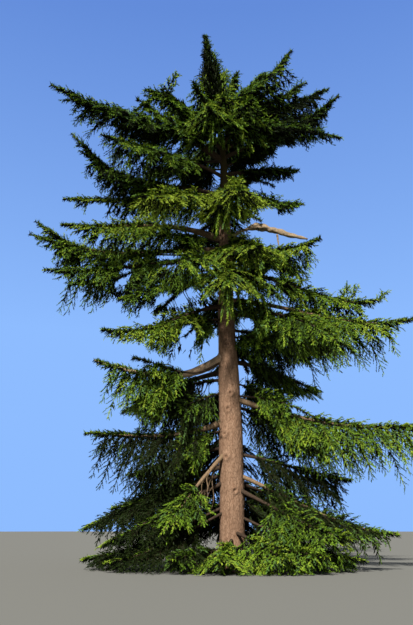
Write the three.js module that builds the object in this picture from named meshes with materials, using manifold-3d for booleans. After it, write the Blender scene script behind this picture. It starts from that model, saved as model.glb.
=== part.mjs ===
// A mature Atlas cedar, 28 m tall, rooted in level ground.
// Millimetres, +Z up. The origin is the centre of the flat cut under the trunk, at ground level.
// Headings are in degrees seen from above: 0 is +X, 90 is +Y.
//
// The trunk is one limb from the ground to the foot of the top spire. Boughs leave it at many heights.
// A bough is a curve from the trunk's axis to its outermost tip. Its inner part is a bare limb, and its
// outer part carries a mass of foliage: a stem with fronds, each a twig with its sprays of needles.

import * as THREE from "three";
import { mergeVertices } from "three/addons/utils/BufferGeometryUtils.js";
import Module from "manifold-3d";

const wasm = await Module();
wasm.setup();

// Whole tree
const TREE_HEIGHT = 28000;
const CLEAR = 0.3; // gap between two solids that meet
const FREE = 6; // least gap between a twig or spray and another sub-part
const GROUND_CLEAR = 30; // nothing that grows hangs lower than this

// Trunk: height, radius, and how far the axis has leant towards -X
const TRUNK = [
  { height: 0, radius: 620, lean: 0 },
  { height: 1200, radius: 540, lean: 0 },
  { height: 3500, radius: 535, lean: 0 },
  { height: 6000, radius: 515, lean: 20 },
  { height: 8000, radius: 475, lean: 80 },
  { height: 10000, radius: 415, lean: 140 },
  { height: 12500, radius: 360, lean: 160 },
  { height: 15000, radius: 310, lean: 170 },
  { height: 18000, radius: 215, lean: 190 },
  { height: 20000, radius: 165, lean: 230 },
  { height: 22400, radius: 110, lean: 500 },
];
const TRUNK_SIDES = 14;
const TRUNK_RING_STEP = 1500;
const FLARE_RADIUS = 130; // how far the root flare stands out at the ground
const FLARE_HEIGHT = 420; // height in which the flare fades to about a third
const FLARE_RIDGES = 5;
const FLARE_RIDGE_DEPTH = 70;

// Limbs
const LIMB_SIDES = 8;
const LIMB_STEP = 650;
const TIP_GIRTH = 45; // radius of a stem's own tip
const STEM_FOOT = 300; // bare length of a stem that meets a limb
const STEM_END = 0.84; // share of the bough at which the stem ends in its last frond

// Fronds: a side twig with its sprays of needles, as one toothed blade that widens from a face of the stem
const FROND_PITCH = 495; // stem length per frond
const FROND_WIDTH = 0.25; // half width as a share of length
const FROND_THICK = 27; // half thickness at the rib
const FROND_BEND = 0.16; // how far the tip bends down, as a share of length
const FROND_KEEL = 0.3; // how far the side fingers hang below the rib, as a share of their width
const FORK_FOOT = 74; // angle between stem and frond, at the stem's foot and at its tip
const FORK_TIP = 50;
const SIDE_SHARE = 1.5; // length of a side frond as a share of a mass's half width
const HANG_SHARE = 1.4; // length of a hanging frond as a share of a mass's hang
const LONGEST_FROND = 2300;
const SHORT_FROND = 1000; // a frond shorter than this has three fingers in place of five
const RIB = 0.45; // where along a frond its rib is thickest
const FIRST_SEED = 1000;
const HANGING_EVERY = 2; // every second step along a stem also has a frond that hangs below it
const HANG_LEAN = 0.45; // how far a hanging frond leans outwards
const STEEPEST = 0.8; // how steeply a side frond may hang
const ROOT_SHARE = 0.12; // share of a frond that may lie close to its own stem

// Ways in which a frond may grow, the next where the last is taken: share of its length, and lift
const WAYS = [
  [1, 0],
  [0.8, -0.35],
  [0.8, 0.35],
  [0.6, 0.1],
];

// Outline of a frond, root to tip: share of its length, share of its half width
const FIVE_FINGERS = [
  [0.4, 1.0],
  [0.48, 0.3],
  [0.72, 0.8],
  [0.78, 0.2],
];
const THREE_FINGERS = [
  [0.46, 1.0],
  [0.6, 0.3],
];

// The boughs. leaves: height on the trunk; heading and turn: direction at the trunk and change to the tip;
// reach and tip: the tip's distance from the trunk's axis and its height; rise and end: slope at both ends;
// girth: radius at the trunk; bare: share of the bough that carries no foliage;
// spread: half width of the foliage; hang: how far its edge hangs; limb: a bare limb of its own.
const BOUGHS = [
  { name: "right_rising_top", leaves: 22100, heading: 335, turn: -5, reach: 3850, tip: 25150,
    rise: 50, end: 50, girth: 80, bare: 0.2, spread: 1900, hang: 900 },
  { name: "right_back_top", leaves: 21800, heading: 12, turn: 0, reach: 6000, tip: 25300,
    rise: 25, end: 30, girth: 75, bare: 0.15, spread: 1600, hang: 900 },
  { name: "right_middle_top", leaves: 20950, heading: 352, turn: 0, reach: 5250, tip: 22150,
    rise: 20, end: 4, girth: 80, bare: 0.2, spread: 1400, hang: 600 },
  { name: "right_long_top", leaves: 19900, heading: 345, turn: 0, reach: 5900, tip: 22600,
    rise: 26, end: 42, girth: 95, bare: 0.2, spread: 1150, hang: 400 },
  { name: "right_drooping_top", leaves: 20250, heading: 325, turn: 10, reach: 5900, tip: 19350,
    rise: 24, end: -28, girth: 90, bare: 0.25, spread: 1000, hang: 300 },
  { name: "right_under_top", leaves: 19400, heading: 35, turn: 0, reach: 3400, tip: 21900,
    rise: 25, end: 0, girth: 85, bare: 0.15, spread: 1100, hang: 350 },
  { name: "right_flat_upper", leaves: 18900, heading: 20, turn: -8, reach: 3900, tip: 19650,
    rise: 22, end: -4, girth: 95, bare: 0.2, spread: 800, hang: 400 },
  { name: "right_comb_upper", leaves: 17900, heading: 3, turn: 0, reach: 3850, tip: 17300,
    rise: -14, end: 9, girth: 100, bare: 0.2, spread: 700, hang: 400 },
  { name: "front_right_top", leaves: 20500, heading: 292, turn: -4, reach: 3600, tip: 20900,
    rise: 18, end: -24, girth: 80, bare: 0.2, spread: 1500, hang: 1200 },
  { name: "front_left_top", leaves: 21050, heading: 256, turn: 0, reach: 4300, tip: 19900,
    rise: 24, end: -20, girth: 85, bare: 0.2, spread: 1700, hang: 1300 },
  { name: "left_arched_top", leaves: 20300, heading: 208, turn: 14, reach: 3450, tip: 23600,
    rise: 40, end: 62, girth: 85, bare: 0.2, spread: 1600, hang: 900 },
  { name: "left_second_top", leaves: 19800, heading: 212, turn: 0, reach: 5300, tip: 21400,
    rise: 18, end: 16, girth: 85, bare: 0.3, spread: 1500, hang: 900 },
  { name: "left_longest_top", leaves: 19600, heading: 206, turn: 0, reach: 9300, tip: 21150,
    rise: 30, end: 14, girth: 125, bare: 0.3, spread: 1300, hang: 650 },
  { name: "left_inner_upper", leaves: 18700, heading: 212, turn: 0, reach: 6500, tip: 18700,
    rise: 14, end: 4, girth: 110, bare: 0.25, spread: 1800, hang: 1300 },
  { name: "left_upturned", leaves: 17600, heading: 188, turn: 4, reach: 8000, tip: 20200,
    rise: 16, end: 50, girth: 125, bare: 0.3, spread: 1300, hang: 800 },
  { name: "left_flat_upper", leaves: 17000, heading: 176, turn: 4, reach: 8400, tip: 17450,
    rise: 8, end: -2, girth: 115, bare: 0.3, spread: 1150, hang: 550 },
  { name: "back_right_top", leaves: 21200, heading: 75, turn: 0, reach: 5600, tip: 23600,
    rise: 25, end: 20, girth: 80, bare: 0.15, spread: 1500, hang: 600 },
  { name: "back_left_top", leaves: 19700, heading: 135, turn: 0, reach: 6600, tip: 21900,
    rise: 25, end: 12, girth: 90, bare: 0.2, spread: 1600, hang: 700 },
  { name: "back_upper", leaves: 17700, heading: 98, turn: 0, reach: 7000, tip: 18600,
    rise: 20, end: -6, girth: 110, bare: 0.25, spread: 1700, hang: 900 },
  { name: "front_upper", leaves: 17300, heading: 274, turn: 0, reach: 5100, tip: 14900,
    rise: 4, end: -34, girth: 105, bare: 0.25, spread: 1900, hang: 1400 },
  { name: "front_left_upper", leaves: 16700, heading: 231, turn: 0, reach: 6400, tip: 14700,
    rise: 8, end: -26, girth: 115, bare: 0.25, spread: 1800, hang: 1100 },
  { name: "left_high_middle", leaves: 15000, heading: 196, turn: 3, reach: 8100, tip: 14600,
    rise: 22, end: -4, girth: 205, bare: 0.34, spread: 1500, hang: 1100, limb: true },
  { name: "left_longest_middle", leaves: 14500, heading: 178, turn: 4, reach: 9600, tip: 16000,
    rise: 10, end: 42, girth: 190, bare: 0.34, spread: 1600, hang: 1200, limb: true },
  { name: "left_low_middle", leaves: 14100, heading: 190, turn: 0, reach: 8700, tip: 12850,
    rise: -2, end: 2, girth: 150, bare: 0.3, spread: 1500, hang: 1500 },
  { name: "front_left_middle", leaves: 13700, heading: 238, turn: 0, reach: 5600, tip: 11700,
    rise: 4, end: -24, girth: 115, bare: 0.3, spread: 1700, hang: 1200 },
  { name: "back_right_middle", leaves: 15400, heading: 55, turn: 0, reach: 6900, tip: 15600,
    rise: 16, end: -10, girth: 135, bare: 0.25, spread: 1800, hang: 1000 },
  { name: "back_left_middle", leaves: 13600, heading: 122, turn: 0, reach: 7800, tip: 13500,
    rise: 14, end: -12, girth: 150, bare: 0.25, spread: 1900, hang: 1100 },
  { name: "front_right_middle", leaves: 14100, heading: 320, turn: 2, reach: 5000, tip: 13700,
    rise: 4, end: 14, girth: 130, bare: 0.2, spread: 1600, hang: 1200 },
  { name: "front_middle", leaves: 13400, heading: 272, turn: -5, reach: 4900, tip: 10700,
    rise: 0, end: -38, girth: 125, bare: 0.25, spread: 2000, hang: 1500 },
  { name: "right_high_middle", leaves: 13300, heading: 352, turn: -2, reach: 7300, tip: 11500,
    rise: 6, end: 4, girth: 150, bare: 0.36, spread: 1600, hang: 1100, limb: true },
  { name: "right_longest_middle", leaves: 11900, heading: 342, turn: -2, reach: 8250, tip: 10000,
    rise: -6, end: 8, girth: 150, bare: 0.34, spread: 1900, hang: 1500, limb: true },
  { name: "right_back_middle", leaves: 11300, heading: 40, turn: 0, reach: 7500, tip: 10600,
    rise: 8, end: -16, girth: 140, bare: 0.25, spread: 1800, hang: 1300 },
  { name: "front_left_lower", leaves: 11600, heading: 218, turn: -6, reach: 6400, tip: 9350,
    rise: -10, end: 6, girth: 120, bare: 0.25, spread: 1450, hang: 1000 },
  { name: "right_weeping", leaves: 11000, heading: 322, turn: 0, reach: 6100, tip: 8300,
    rise: 4, end: -46, girth: 120, bare: 0.3, spread: 1500, hang: 1300 },
  { name: "back_right_lower", leaves: 8900, heading: 52, turn: -6, reach: 7300, tip: 8600,
    rise: 8, end: -8, girth: 140, bare: 0.25, spread: 1800, hang: 1400 },
  { name: "left_thick_lower", leaves: 9300, heading: 194, turn: 0, reach: 6200, tip: 8550,
    rise: -42, end: 15, girth: 255, bare: 0.38, spread: 1700, hang: 1500, limb: true },
  { name: "back_left_lower", leaves: 8400, heading: 138, turn: 0, reach: 7500, tip: 7400,
    rise: 4, end: -14, girth: 150, bare: 0.25, spread: 1900, hang: 1500 },
  { name: "right_lower", leaves: 7250, heading: 344, turn: 2, reach: 8700, tip: 5650,
    rise: -24, end: 6, girth: 160, bare: 0.2, spread: 2000, hang: 1700, limb: true },
  { name: "left_lower", leaves: 6250, heading: 186, turn: 0, reach: 6400, tip: 5500,
    rise: -28, end: 2, girth: 180, bare: 0.2, spread: 1900, hang: 1700, limb: true },
  { name: "back_lower", leaves: 6000, heading: 92, turn: 0, reach: 7700, tip: 4600,
    rise: 0, end: -18, girth: 140, bare: 0.25, spread: 2000, hang: 1500 },
  { name: "left_lowest", leaves: 4950, heading: 218, turn: 8, reach: 3900, tip: 1500,
    rise: -38, end: -42, girth: 140, bare: 0.52, spread: 1300, hang: 700, limb: true },
  { name: "left_ground", leaves: 3600, heading: 196, turn: 0, reach: 5500, tip: 900,
    rise: -22, end: -26, girth: 110, bare: 0.3, spread: 1600, hang: 800 },
  { name: "back_left_lowest", leaves: 4200, heading: 158, turn: 6, reach: 7000, tip: 1500,
    rise: -8, end: -26, girth: 120, bare: 0.25, spread: 1900, hang: 900 },
  { name: "right_lowest", leaves: 3900, heading: 348, turn: -2, reach: 6700, tip: 1350,
    rise: -22, end: -4, girth: 115, bare: 0.2, spread: 1700, hang: 900, limb: true },
  { name: "back_right_lowest", leaves: 3500, heading: 40, turn: 0, reach: 6800, tip: 1400,
    rise: -8, end: -24, girth: 110, bare: 0.25, spread: 1800, hang: 900 },
  { name: "front_right_lowest", leaves: 3300, heading: 322, turn: -4, reach: 5600, tip: 1200,
    rise: -22, end: -10, girth: 105, bare: 0.35, spread: 1500, hang: 900 },
  { name: "front_lowest", leaves: 1450, heading: 292, turn: 0, reach: 4900, tip: 550,
    rise: -6, end: -6, girth: 100, bare: 0.3, spread: 1500, hang: 700 },
  { name: "front_left_lowest", leaves: 1150, heading: 262, turn: 0, reach: 4600, tip: 500,
    rise: -4, end: -6, girth: 95, bare: 0.3, spread: 1500, hang: 700 },
];

// The broken limb on the right, bare and bleached
const BROKEN_LIMB = {
  leaves: 15050, heading: 350, knee: 1550, kneeHeight: 15820, reach: 3950, tip: 14900,
  girth: 150, kneeGirth: 185, endGirth: 85,
};

// The spire at the top of the trunk
const SPIRE = {
  lean: 1190, steps: 12, footGirth: 105, tipGirth: 40, footSpread: 2000, tipSpread: 420, climb: 0.9,
};
const SPIRE_FACES = [
  { face: "left", corners: ["top", "left"], turn: 140, share: 1, mirrored: false },
  { face: "bottom", corners: ["left", "right"], turn: 20, share: 1.1, mirrored: false },
  { face: "right", corners: ["top", "right"], turn: 260, share: 1, mirrored: true },
];

const deg = THREE.MathUtils.degToRad;
const lerp = THREE.MathUtils.lerp;
const UP = new THREE.Vector3(0, 0, 1);
const AWAY = new THREE.Vector3(0, 1, 0);
const SMALL = 1e-3; // a short step along a curve, to find its direction

// A row of random numbers from 0 to 1 that is the same on every run
function seeded(seed) {
  let state = seed >>> 0;
  return () => {
    state = (state + 0x6d2b79f5) >>> 0;
    let t = state;
    t = Math.imul(t ^ (t >>> 15), t | 1);
    t ^= t + Math.imul(t ^ (t >>> 7), t | 61);
    return ((t ^ (t >>> 14)) >>> 0) / 4294967296;
  };
}

// A closed solid from corner points and triangles
function solidFrom(points, triangles) {
  const geometry = new THREE.BufferGeometry();
  const corners = points.flatMap((p) => [p.x, p.y, p.z]);
  geometry.setAttribute("position", new THREE.Float32BufferAttribute(corners, 3));
  geometry.setIndex(triangles.flat());
  const merged = mergeVertices(geometry, SMALL);
  return new wasm.Manifold(new wasm.Mesh({
    numProp: 3,
    vertProperties: new Float32Array(merged.attributes.position.array),
    triVerts: new Uint32Array(merged.index.array),
  }));
}

// A solid through rings of points, closed by a flat fan at each end; a ring of one point is a sharp tip
function loft(rings) {
  const points = [];
  const triangles = [];
  const starts = rings.map((ring) => {
    points.push(...ring);
    return points.length - ring.length;
  });
  for (let i = 0; i + 1 < rings.length; i++) {
    const n = rings[i].length;
    const a = starts[i];
    const b = starts[i + 1];
    for (let k = 0; k < n; k++) {
      const m = (k + 1) % n;
      if (rings[i + 1].length === 1) {
        triangles.push([a + k, a + m, b]);
      } else {
        triangles.push([a + k, a + m, b + m], [a + k, b + m, b + k]);
      }
    }
  }
  const fan = (start, n, facesBack) => {
    for (let k = 1; k + 1 < n; k++) {
      triangles.push(facesBack ? [start, start + k + 1, start + k] : [start, start + k, start + k + 1]);
    }
  };
  fan(starts[0], rings[0].length, true);
  fan(starts.at(-1), rings.at(-1).length, false);
  return solidFrom(points, triangles);
}

// Direction of a curve at t
const aheadOf = (line, t) => line(t + SMALL).sub(line(t - SMALL)).normalize();

// A round limb along a curve: centre(t) and radius(t) for t from `from` to `to`
function limb(centre, radius, from, to, sides, steps) {
  const rings = [];
  let side = null;
  for (let i = 0; i <= steps; i++) {
    const t = lerp(from, to, i / steps);
    const ahead = aheadOf(centre, t);
    side ??= new THREE.Vector3().crossVectors(ahead, Math.abs(ahead.z) > 0.9 ? AWAY : UP);
    side = side.clone().addScaledVector(ahead, -side.dot(ahead)).normalize();
    const other = new THREE.Vector3().crossVectors(ahead, side);
    rings.push(Array.from({ length: sides }, (_, k) => {
      const turn = (k / sides) * 2 * Math.PI;
      const out = side.clone().multiplyScalar(Math.cos(turn)).addScaledVector(other, Math.sin(turn));
      return centre(t).addScaledVector(out, radius(t));
    }));
  }
  return loft(rings);
}

// Value of one column of the trunk's table at a height, on a smooth curve through its rows
function trunkAt(height, column) {
  const last = TRUNK.length - 1;
  let i = TRUNK.findIndex((row) => row.height > height) - 1;
  if (i < 0) i = height < 0 ? 0 : last - 1;
  const at = (k) => TRUNK[Math.min(Math.max(k, 0), last)];
  const a = at(i);
  const b = at(i + 1);
  const span = b.height - a.height;
  const u = (height - a.height) / span;
  const slope = (low, high) => (high[column] - low[column]) * span / Math.max(high.height - low.height, 1);
  const inSlope = slope(at(i - 1), b);
  const outSlope = slope(a, at(i + 2));
  const u2 = u * u;
  const u3 = u2 * u;
  return (2 * u3 - 3 * u2 + 1) * a[column] + (u3 - 2 * u2 + u) * inSlope
    + (3 * u2 - 2 * u3) * b[column] + (u3 - u2) * outSlope;
}

const trunkAxis = (height) => new THREE.Vector3(-trunkAt(height, "lean"), 0, height);

// The trunk, with its root flare, from the flat cut at the ground to its top; grown by `extra` for cutting
function trunkSolid(extra = 0) {
  const top = TRUNK.at(-1).height;
  const heights = [0, 150, 350, 700];
  for (let z = TRUNK_RING_STEP; z < top; z += TRUNK_RING_STEP) heights.push(z);
  heights.push(top);
  const rings = heights.map((z) => {
    const axis = trunkAxis(z);
    const fade = Math.exp(-z / FLARE_HEIGHT);
    return Array.from({ length: TRUNK_SIDES }, (_, k) => {
      const turn = (k / TRUNK_SIDES) * 2 * Math.PI;
      const ridges = FLARE_RIDGE_DEPTH * Math.cos(FLARE_RIDGES * turn + 0.6);
      const r = trunkAt(z, "radius") + fade * (FLARE_RADIUS + ridges) + extra;
      return new THREE.Vector3(axis.x + r * Math.cos(turn), axis.y + r * Math.sin(turn), z);
    });
  });
  return loft(rings);
}

// Centre line of a bough, for t from 0 at the trunk's axis to 1 at the tip
function boughLine(row) {
  const foot = trunkAxis(row.leaves);
  const inSlope = row.reach * Math.tan(deg(row.rise));
  const outSlope = row.reach * Math.tan(deg(row.end));
  return (t) => {
    const t2 = t * t;
    const t3 = t2 * t;
    const heading = deg(row.heading + row.turn * t);
    const height = (2 * t3 - 3 * t2 + 1) * row.leaves + (t3 - 2 * t2 + t) * inSlope
      + (3 * t2 - 2 * t3) * row.tip + (t3 - t2) * outSlope;
    return new THREE.Vector3(
      foot.x * (1 - t) + row.reach * t * Math.cos(heading),
      row.reach * t * Math.sin(heading),
      height,
    );
  };
}

const boughRadius = (row) => (t) => lerp(row.girth, TIP_GIRTH, Math.min(Math.max(t, 0), 1) ** 0.75);

// Length of a curve between two values of t
function lengthOf(line, from, to) {
  const parts = 24;
  let sum = 0;
  for (let i = 0; i < parts; i++) {
    sum += line(lerp(from, to, (i + 1) / parts)).distanceTo(line(lerp(from, to, i / parts)));
  }
  return sum;
}

const flipped = (triangles) => triangles.map(([i, j, k]) => [i, k, j]);

// A frond on a root that is part of a stem's skin. The root is two chains of points, back to front: the
// frond's upper side starts on `upper`, its lower side on `lower`. Gives its own points and its triangles.
function frondSkin({ upper, lower, foot, along, across, length, mirrored }) {
  const half = length * FROND_WIDTH;
  const outline = length < SHORT_FROND ? THREE_FINGERS : FIVE_FINGERS;
  const up = new THREE.Vector3().crossVectors(across, along).normalize();
  if (mirrored) up.negate();
  const at = (u, w, lift) => foot.clone()
    .addScaledVector(along, u * length)
    .addScaledVector(across, w * half)
    .addScaledVector(up, lift - FROND_KEEL * half * Math.abs(w))
    .addScaledVector(UP, -FROND_BEND * length * u * u);
  const tip = at(1, 0, 0);
  const front = outline.map(([u, w]) => at(u, w, 0));
  const back = outline.map(([u, w]) => at(u, -w, 0)).reverse();
  const rim = [...front, tip, ...back];
  const triangles = [];
  [upper, lower].forEach((root, under) => {
    const rib = at(RIB, 0, under ? -FROND_THICK : FROND_THICK);
    const ring = [...root, ...rim];
    ring.forEach((p, k) => {
      const next = ring[(k + 1) % ring.length];
      triangles.push(under ? [rib, next, p] : [rib, p, next]);
    });
  });
  if (upper.at(-1) !== lower.at(-1)) triangles.push([upper.at(-1), lower.at(-1), front[0]]);
  if (upper[0] !== lower[0]) triangles.push([upper[0], back.at(-1), lower[0]]);
  return mirrored ? flipped(triangles) : triangles;
}

// The triangles that close a frond's root
function rootCap(upper, lower, mirrored) {
  const ring = [...upper, ...[...lower].reverse().filter((p) => !upper.includes(p))];
  const cap = ring.slice(2).map((p, k) => [ring[0], p, ring[k + 1]]);
  return mirrored ? flipped(cap) : cap;
}

// A closed solid from triangles whose corners are shared points
function solidOf(triangles) {
  const points = [...new Set(triangles.flat())];
  const index = new Map(points.map((p, k) => [p, k]));
  return solidFrom(points, triangles.map((corners) => corners.map((p) => index.get(p))));
}

// Everything placed so far: its owner, its solid, and for a frond the part that lies clear of its stem
const placed = [];

function place(owner, whole, outer = whole) {
  placed.push({ owner, whole, outer, box: whole.boundingBox() });
}

const clearOf = (a, b) => a.minGap(b, FREE) >= FREE;

const boxesApart = (a, b) => [0, 1, 2].some(
  (k) => a.min[k] > b.max[k] + FREE || b.min[k] > a.max[k] + FREE,
);

// True if a frond stays FREE of everything placed and clear of the ground
function hasRoom(owner, whole, outer) {
  const box = whole.boundingBox();
  if (box.min[2] < GROUND_CLEAR) return false;
  return placed.every((other) => {
    if (boxesApart(box, other.box)) return true;
    if (other.owner !== owner) return clearOf(whole, other.whole);
    if (!clearOf(outer, other.whole)) return false;
    return other.outer === other.whole || clearOf(whole, other.outer);
  });
}

// The width of a mass along its stem: full a quarter of the way out, narrow at the tip
const widthShare = (u) => Math.min(0.75 + 1.0 * u, 1) * (1 - 0.6 * Math.max(0, (u - 0.25) / 0.75) ** 1.3);

// One ring of a stem of three faces: its corners are top, left and right, at equal turns round the stem
function stemRing(line, radius, t) {
  const ahead = aheadOf(line, t);
  const across = new THREE.Vector3().crossVectors(UP, ahead).normalize();
  const up = new THREE.Vector3().crossVectors(ahead, across).normalize();
  const corner = (turn) => line(t)
    .addScaledVector(up, radius(t) * Math.cos(deg(turn)))
    .addScaledVector(across, radius(t) * Math.sin(deg(turn)));
  return { ahead, across, top: corner(0), left: corner(120), right: corner(240) };
}

// The rings of a stem: its foot, which carries no frond, and then `steps` equal steps to STEM_END
function stemRings(line, radius, start, from, steps) {
  const rings = [stemRing(line, radius, start)];
  for (let i = 0; i <= steps; i++) rings.push(stemRing(line, radius, lerp(from, STEM_END, i / steps)));
  return rings;
}

// The frond at the end of a stem: long enough to reach the tip although it bends down
function endPlan(end, foot, tip, across) {
  const way = tip.clone().sub(foot);
  const drop = FROND_BEND * way.z;
  const spare = 1 - FROND_BEND ** 2;
  const length = (drop + Math.sqrt(drop ** 2 + spare * way.lengthSq())) / spare;
  return {
    face: "end", upper: [end.left, end.top, end.right], lower: [end.left, end.right],
    foot, along: way.addScaledVector(UP, FROND_BEND * length), across, length,
  };
}

function middleOf(points) {
  const sum = new THREE.Vector3();
  for (const p of points) sum.add(p);
  return sum.divideScalar(points.length);
}

// A frond on one side of a stem, between two rings
function sidePlan(row, a, b, i, u, random) {
  const side = i % 2 ? 1 : -1;
  const edge = side > 0 ? "left" : "right";
  const length = row.spread * SIDE_SHARE * widthShare(u) * (0.85 + 0.3 * random());
  const fall = (row.hang / row.spread) * (0.9 + 0.5 * random());
  const flat = a.ahead.clone().setZ(0).normalize();
  const fork = side * (lerp(FORK_FOOT, FORK_TIP, u) + 16 * (random() - 0.5));
  return {
    face: `${i} ${edge}`, upper: [a.top, b.top], lower: [a[edge], b[edge]],
    foot: middleOf([a.top, b.top, a[edge], b[edge]]),
    along: flat.clone().applyAxisAngle(UP, deg(fork)).addScaledVector(UP, -fall),
    across: flat, length: Math.min(length, LONGEST_FROND), mirrored: side < 0,
  };
}

// A frond that hangs under a stem, between two rings
function hangingPlan(row, a, b, i, u, random) {
  const flat = a.ahead.clone().setZ(0).normalize();
  const length = row.hang * HANG_SHARE * (0.6 + 0.4 * widthShare(u)) * (0.9 + 0.3 * random());
  return {
    face: `${i} bottom`, upper: [a.left, b.left], lower: [a.right, b.right],
    foot: middleOf([a.left, b.left, a.right, b.right]),
    along: flat.clone().multiplyScalar(HANG_LEAN).addScaledVector(UP, -1),
    across: flat, length: Math.min(length, LONGEST_FROND),
  };
}

// The plans of one mass's fronds in the order in which they grow: the tip's own first
function frondPlans(row, line, rings, random) {
  const end = rings.at(-1);
  const plans = [endPlan(end, line(STEM_END), line(1), end.across.clone().negate())];
  for (let i = 1; i + 1 < rings.length; i++) {
    const u = (i - 0.5) / (rings.length - 2);
    plans.push(sidePlan(row, rings[i], rings[i + 1], i, u, random));
    if (i % HANGING_EVERY === 1) plans.push(hangingPlan(row, rings[i], rings[i + 1], i, u, random));
  }
  return plans;
}

// A closed solid of one frond, without the share `start` of it next to the stem
function frondSolid(frond, start) {
  const middle = frond.foot.clone().addScaledVector(frond.along, frond.length * RIB);
  const moved = new Map([...frond.upper, ...frond.lower].map((p) => [p, p.clone().lerp(middle, start)]));
  const upper = frond.upper.map((p) => moved.get(p));
  const lower = frond.lower.map((p) => moved.get(p));
  return solidOf([...frondSkin({ ...frond, upper, lower }), ...rootCap(upper, lower, frond.mirrored)]);
}

// Grows one frond if one of the ways has room, and gives its skin
function growFrond(owner, plan) {
  for (const [share, lift] of WAYS) {
    const along = plan.along.clone().normalize().addScaledVector(UP, lift).normalize();
    const hangs = plan.face.endsWith("bottom");
    if (along.z < -STEEPEST && !hangs) along.setZ(-STEEPEST).normalize();
    const across = plan.across.clone().addScaledVector(along, -plan.across.dot(along)).normalize();
    const frond = { ...plan, along, across, length: plan.length * share };
    const whole = frondSolid(frond, 0);
    const outer = frondSolid(frond, ROOT_SHARE);
    if (outer.volume() > 0 && hasRoom(owner, whole, outer)) {
      place(owner, whole, outer);
      return frondSkin(frond);
    }
  }
  return null;
}

// The skin of a stem, with a frond in place of every face that carries one
function massSkin(rings, fronds) {
  const triangles = [];
  const quad = (face, a, b, c, d) => {
    const frond = fronds.get(face);
    triangles.push(...(frond ?? [[a, b, c], [a, c, d]]));
  };
  const first = rings[0];
  const last = rings.at(-1);
  triangles.push([first.top, first.left, first.right]);
  for (let i = 0; i + 1 < rings.length; i++) {
    const a = rings[i];
    const b = rings[i + 1];
    quad(`${i} left`, a.top, b.top, b.left, a.left);
    quad(`${i} bottom`, a.left, b.left, b.right, a.right);
    quad(`${i} right`, a.right, b.right, b.top, a.top);
  }
  triangles.push(...(fronds.get("end") ?? [[last.top, last.right, last.left]]));
  return triangles;
}

// One body out of many that touch: what is loose or sealed inside is left out
function fused(parts) {
  const joined = wasm.Manifold.union(parts);
  const bodies = joined.decompose();
  return bodies.reduce((best, body) => (body.volume() > best.volume() ? body : best));
}

function plainMaterial(name, color, roughness) {
  return new THREE.MeshStandardMaterial({ name, color, roughness, metalness: 0 });
}

const bark = plainMaterial("bark", 0x7d6657, 0.95);
const bleached = plainMaterial("bleached_wood", 0xa38f78, 0.9);
const needles = plainMaterial("needles", 0x3f5a24, 0.8);

const tree = new THREE.Group();
tree.name = "atlas_tree";

function addNode(name, solid, material) {
  const { vertProperties, triVerts, numProp, numVert } = solid.getMesh();
  const positions = new Float32Array(numVert * 3);
  for (let i = 0; i < numVert; i++) {
    positions.set(vertProperties.subarray(i * numProp, i * numProp + 3), i * 3);
  }
  const geometry = new THREE.BufferGeometry();
  geometry.setAttribute("position", new THREE.BufferAttribute(positions, 3));
  geometry.setIndex(new THREE.BufferAttribute(new Uint32Array(triVerts), 1));
  geometry.computeVertexNormals();
  const mesh = new THREE.Mesh(geometry, material);
  mesh.name = name;
  tree.add(mesh);
}

function addLimb(name, solid, material) {
  place(name, solid);
  addNode(name, solid, material);
}

// Trunk
const trunk = trunkSolid();
const trunkCutter = trunkSolid(CLEAR);
addLimb("trunk", trunk, bark);

// Broken limb: out of the trunk, up to a thick knee, then down to a jagged end
function brokenLimb() {
  const { leaves, heading, knee, kneeHeight, reach, tip, girth, kneeGirth, endGirth } = BROKEN_LIMB;
  const way = new THREE.Vector3(Math.cos(deg(heading)), Math.sin(deg(heading)), 0);
  const at = (out, height) => trunkAxis(leaves).addScaledVector(way, out).setZ(height);
  const curve = new THREE.CatmullRomCurve3([
    at(0, leaves),
    at(knee * 0.55, lerp(leaves, kneeHeight, 0.8)),
    at(knee, kneeHeight),
    at(lerp(knee, reach, 0.45), lerp(kneeHeight, tip, 0.4)),
    at(reach, tip),
  ]);
  const kneeAt = 0.4;
  const radius = (t) => (t < kneeAt
    ? lerp(girth, kneeGirth, (t / kneeAt) ** 2)
    : lerp(kneeGirth, endGirth, (t - kneeAt) / (1 - kneeAt)));
  const line = (t) => curve.getPoint(Math.min(Math.max(t, 0), 1));
  const main = limb(line, radius, SMALL, 1 - SMALL, LIMB_SIDES, 7);
  return wasm.Manifold.union([main, jaggedEnd(at(reach, tip), way, endGirth * 0.7), deadStub(at, way)]);
}

// The splinter that stands out of the limb's broken end
function jaggedEnd(end, way, radius) {
  const foot = end.clone().addScaledVector(way, -180);
  const corners = [90, 210, 330].map((turn) => (
    foot.clone().add(new THREE.Vector3(0, radius * Math.cos(deg(turn)), radius * Math.sin(deg(turn))))
  ));
  return loft([corners, [end.clone().addScaledVector(way, 260).addScaledVector(UP, -60)]]);
}

// The stub that hangs from the outer half of the broken limb
function deadStub(at, way) {
  const { knee, kneeHeight, reach, tip } = BROKEN_LIMB;
  const foot = at(lerp(knee, reach, 0.62), lerp(kneeHeight, tip, 0.6));
  const line = (t) => foot.clone().addScaledVector(UP, -620 * t).addScaledVector(way, 60 * t);
  return limb(line, (t) => lerp(60, 30, t), 0, 1, 5, 2);
}
addLimb("broken_limb", fused([brokenLimb().subtract(trunkCutter)]), bleached);

// The bare inner part of a bough
function boughSolid(row, line, radius) {
  const steps = Math.max(3, Math.round(lengthOf(line, 0, row.bare) / LIMB_STEP));
  return fused([limb(line, radius, 0, row.bare, LIMB_SIDES, steps).subtract(trunkCutter)]);
}

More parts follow.
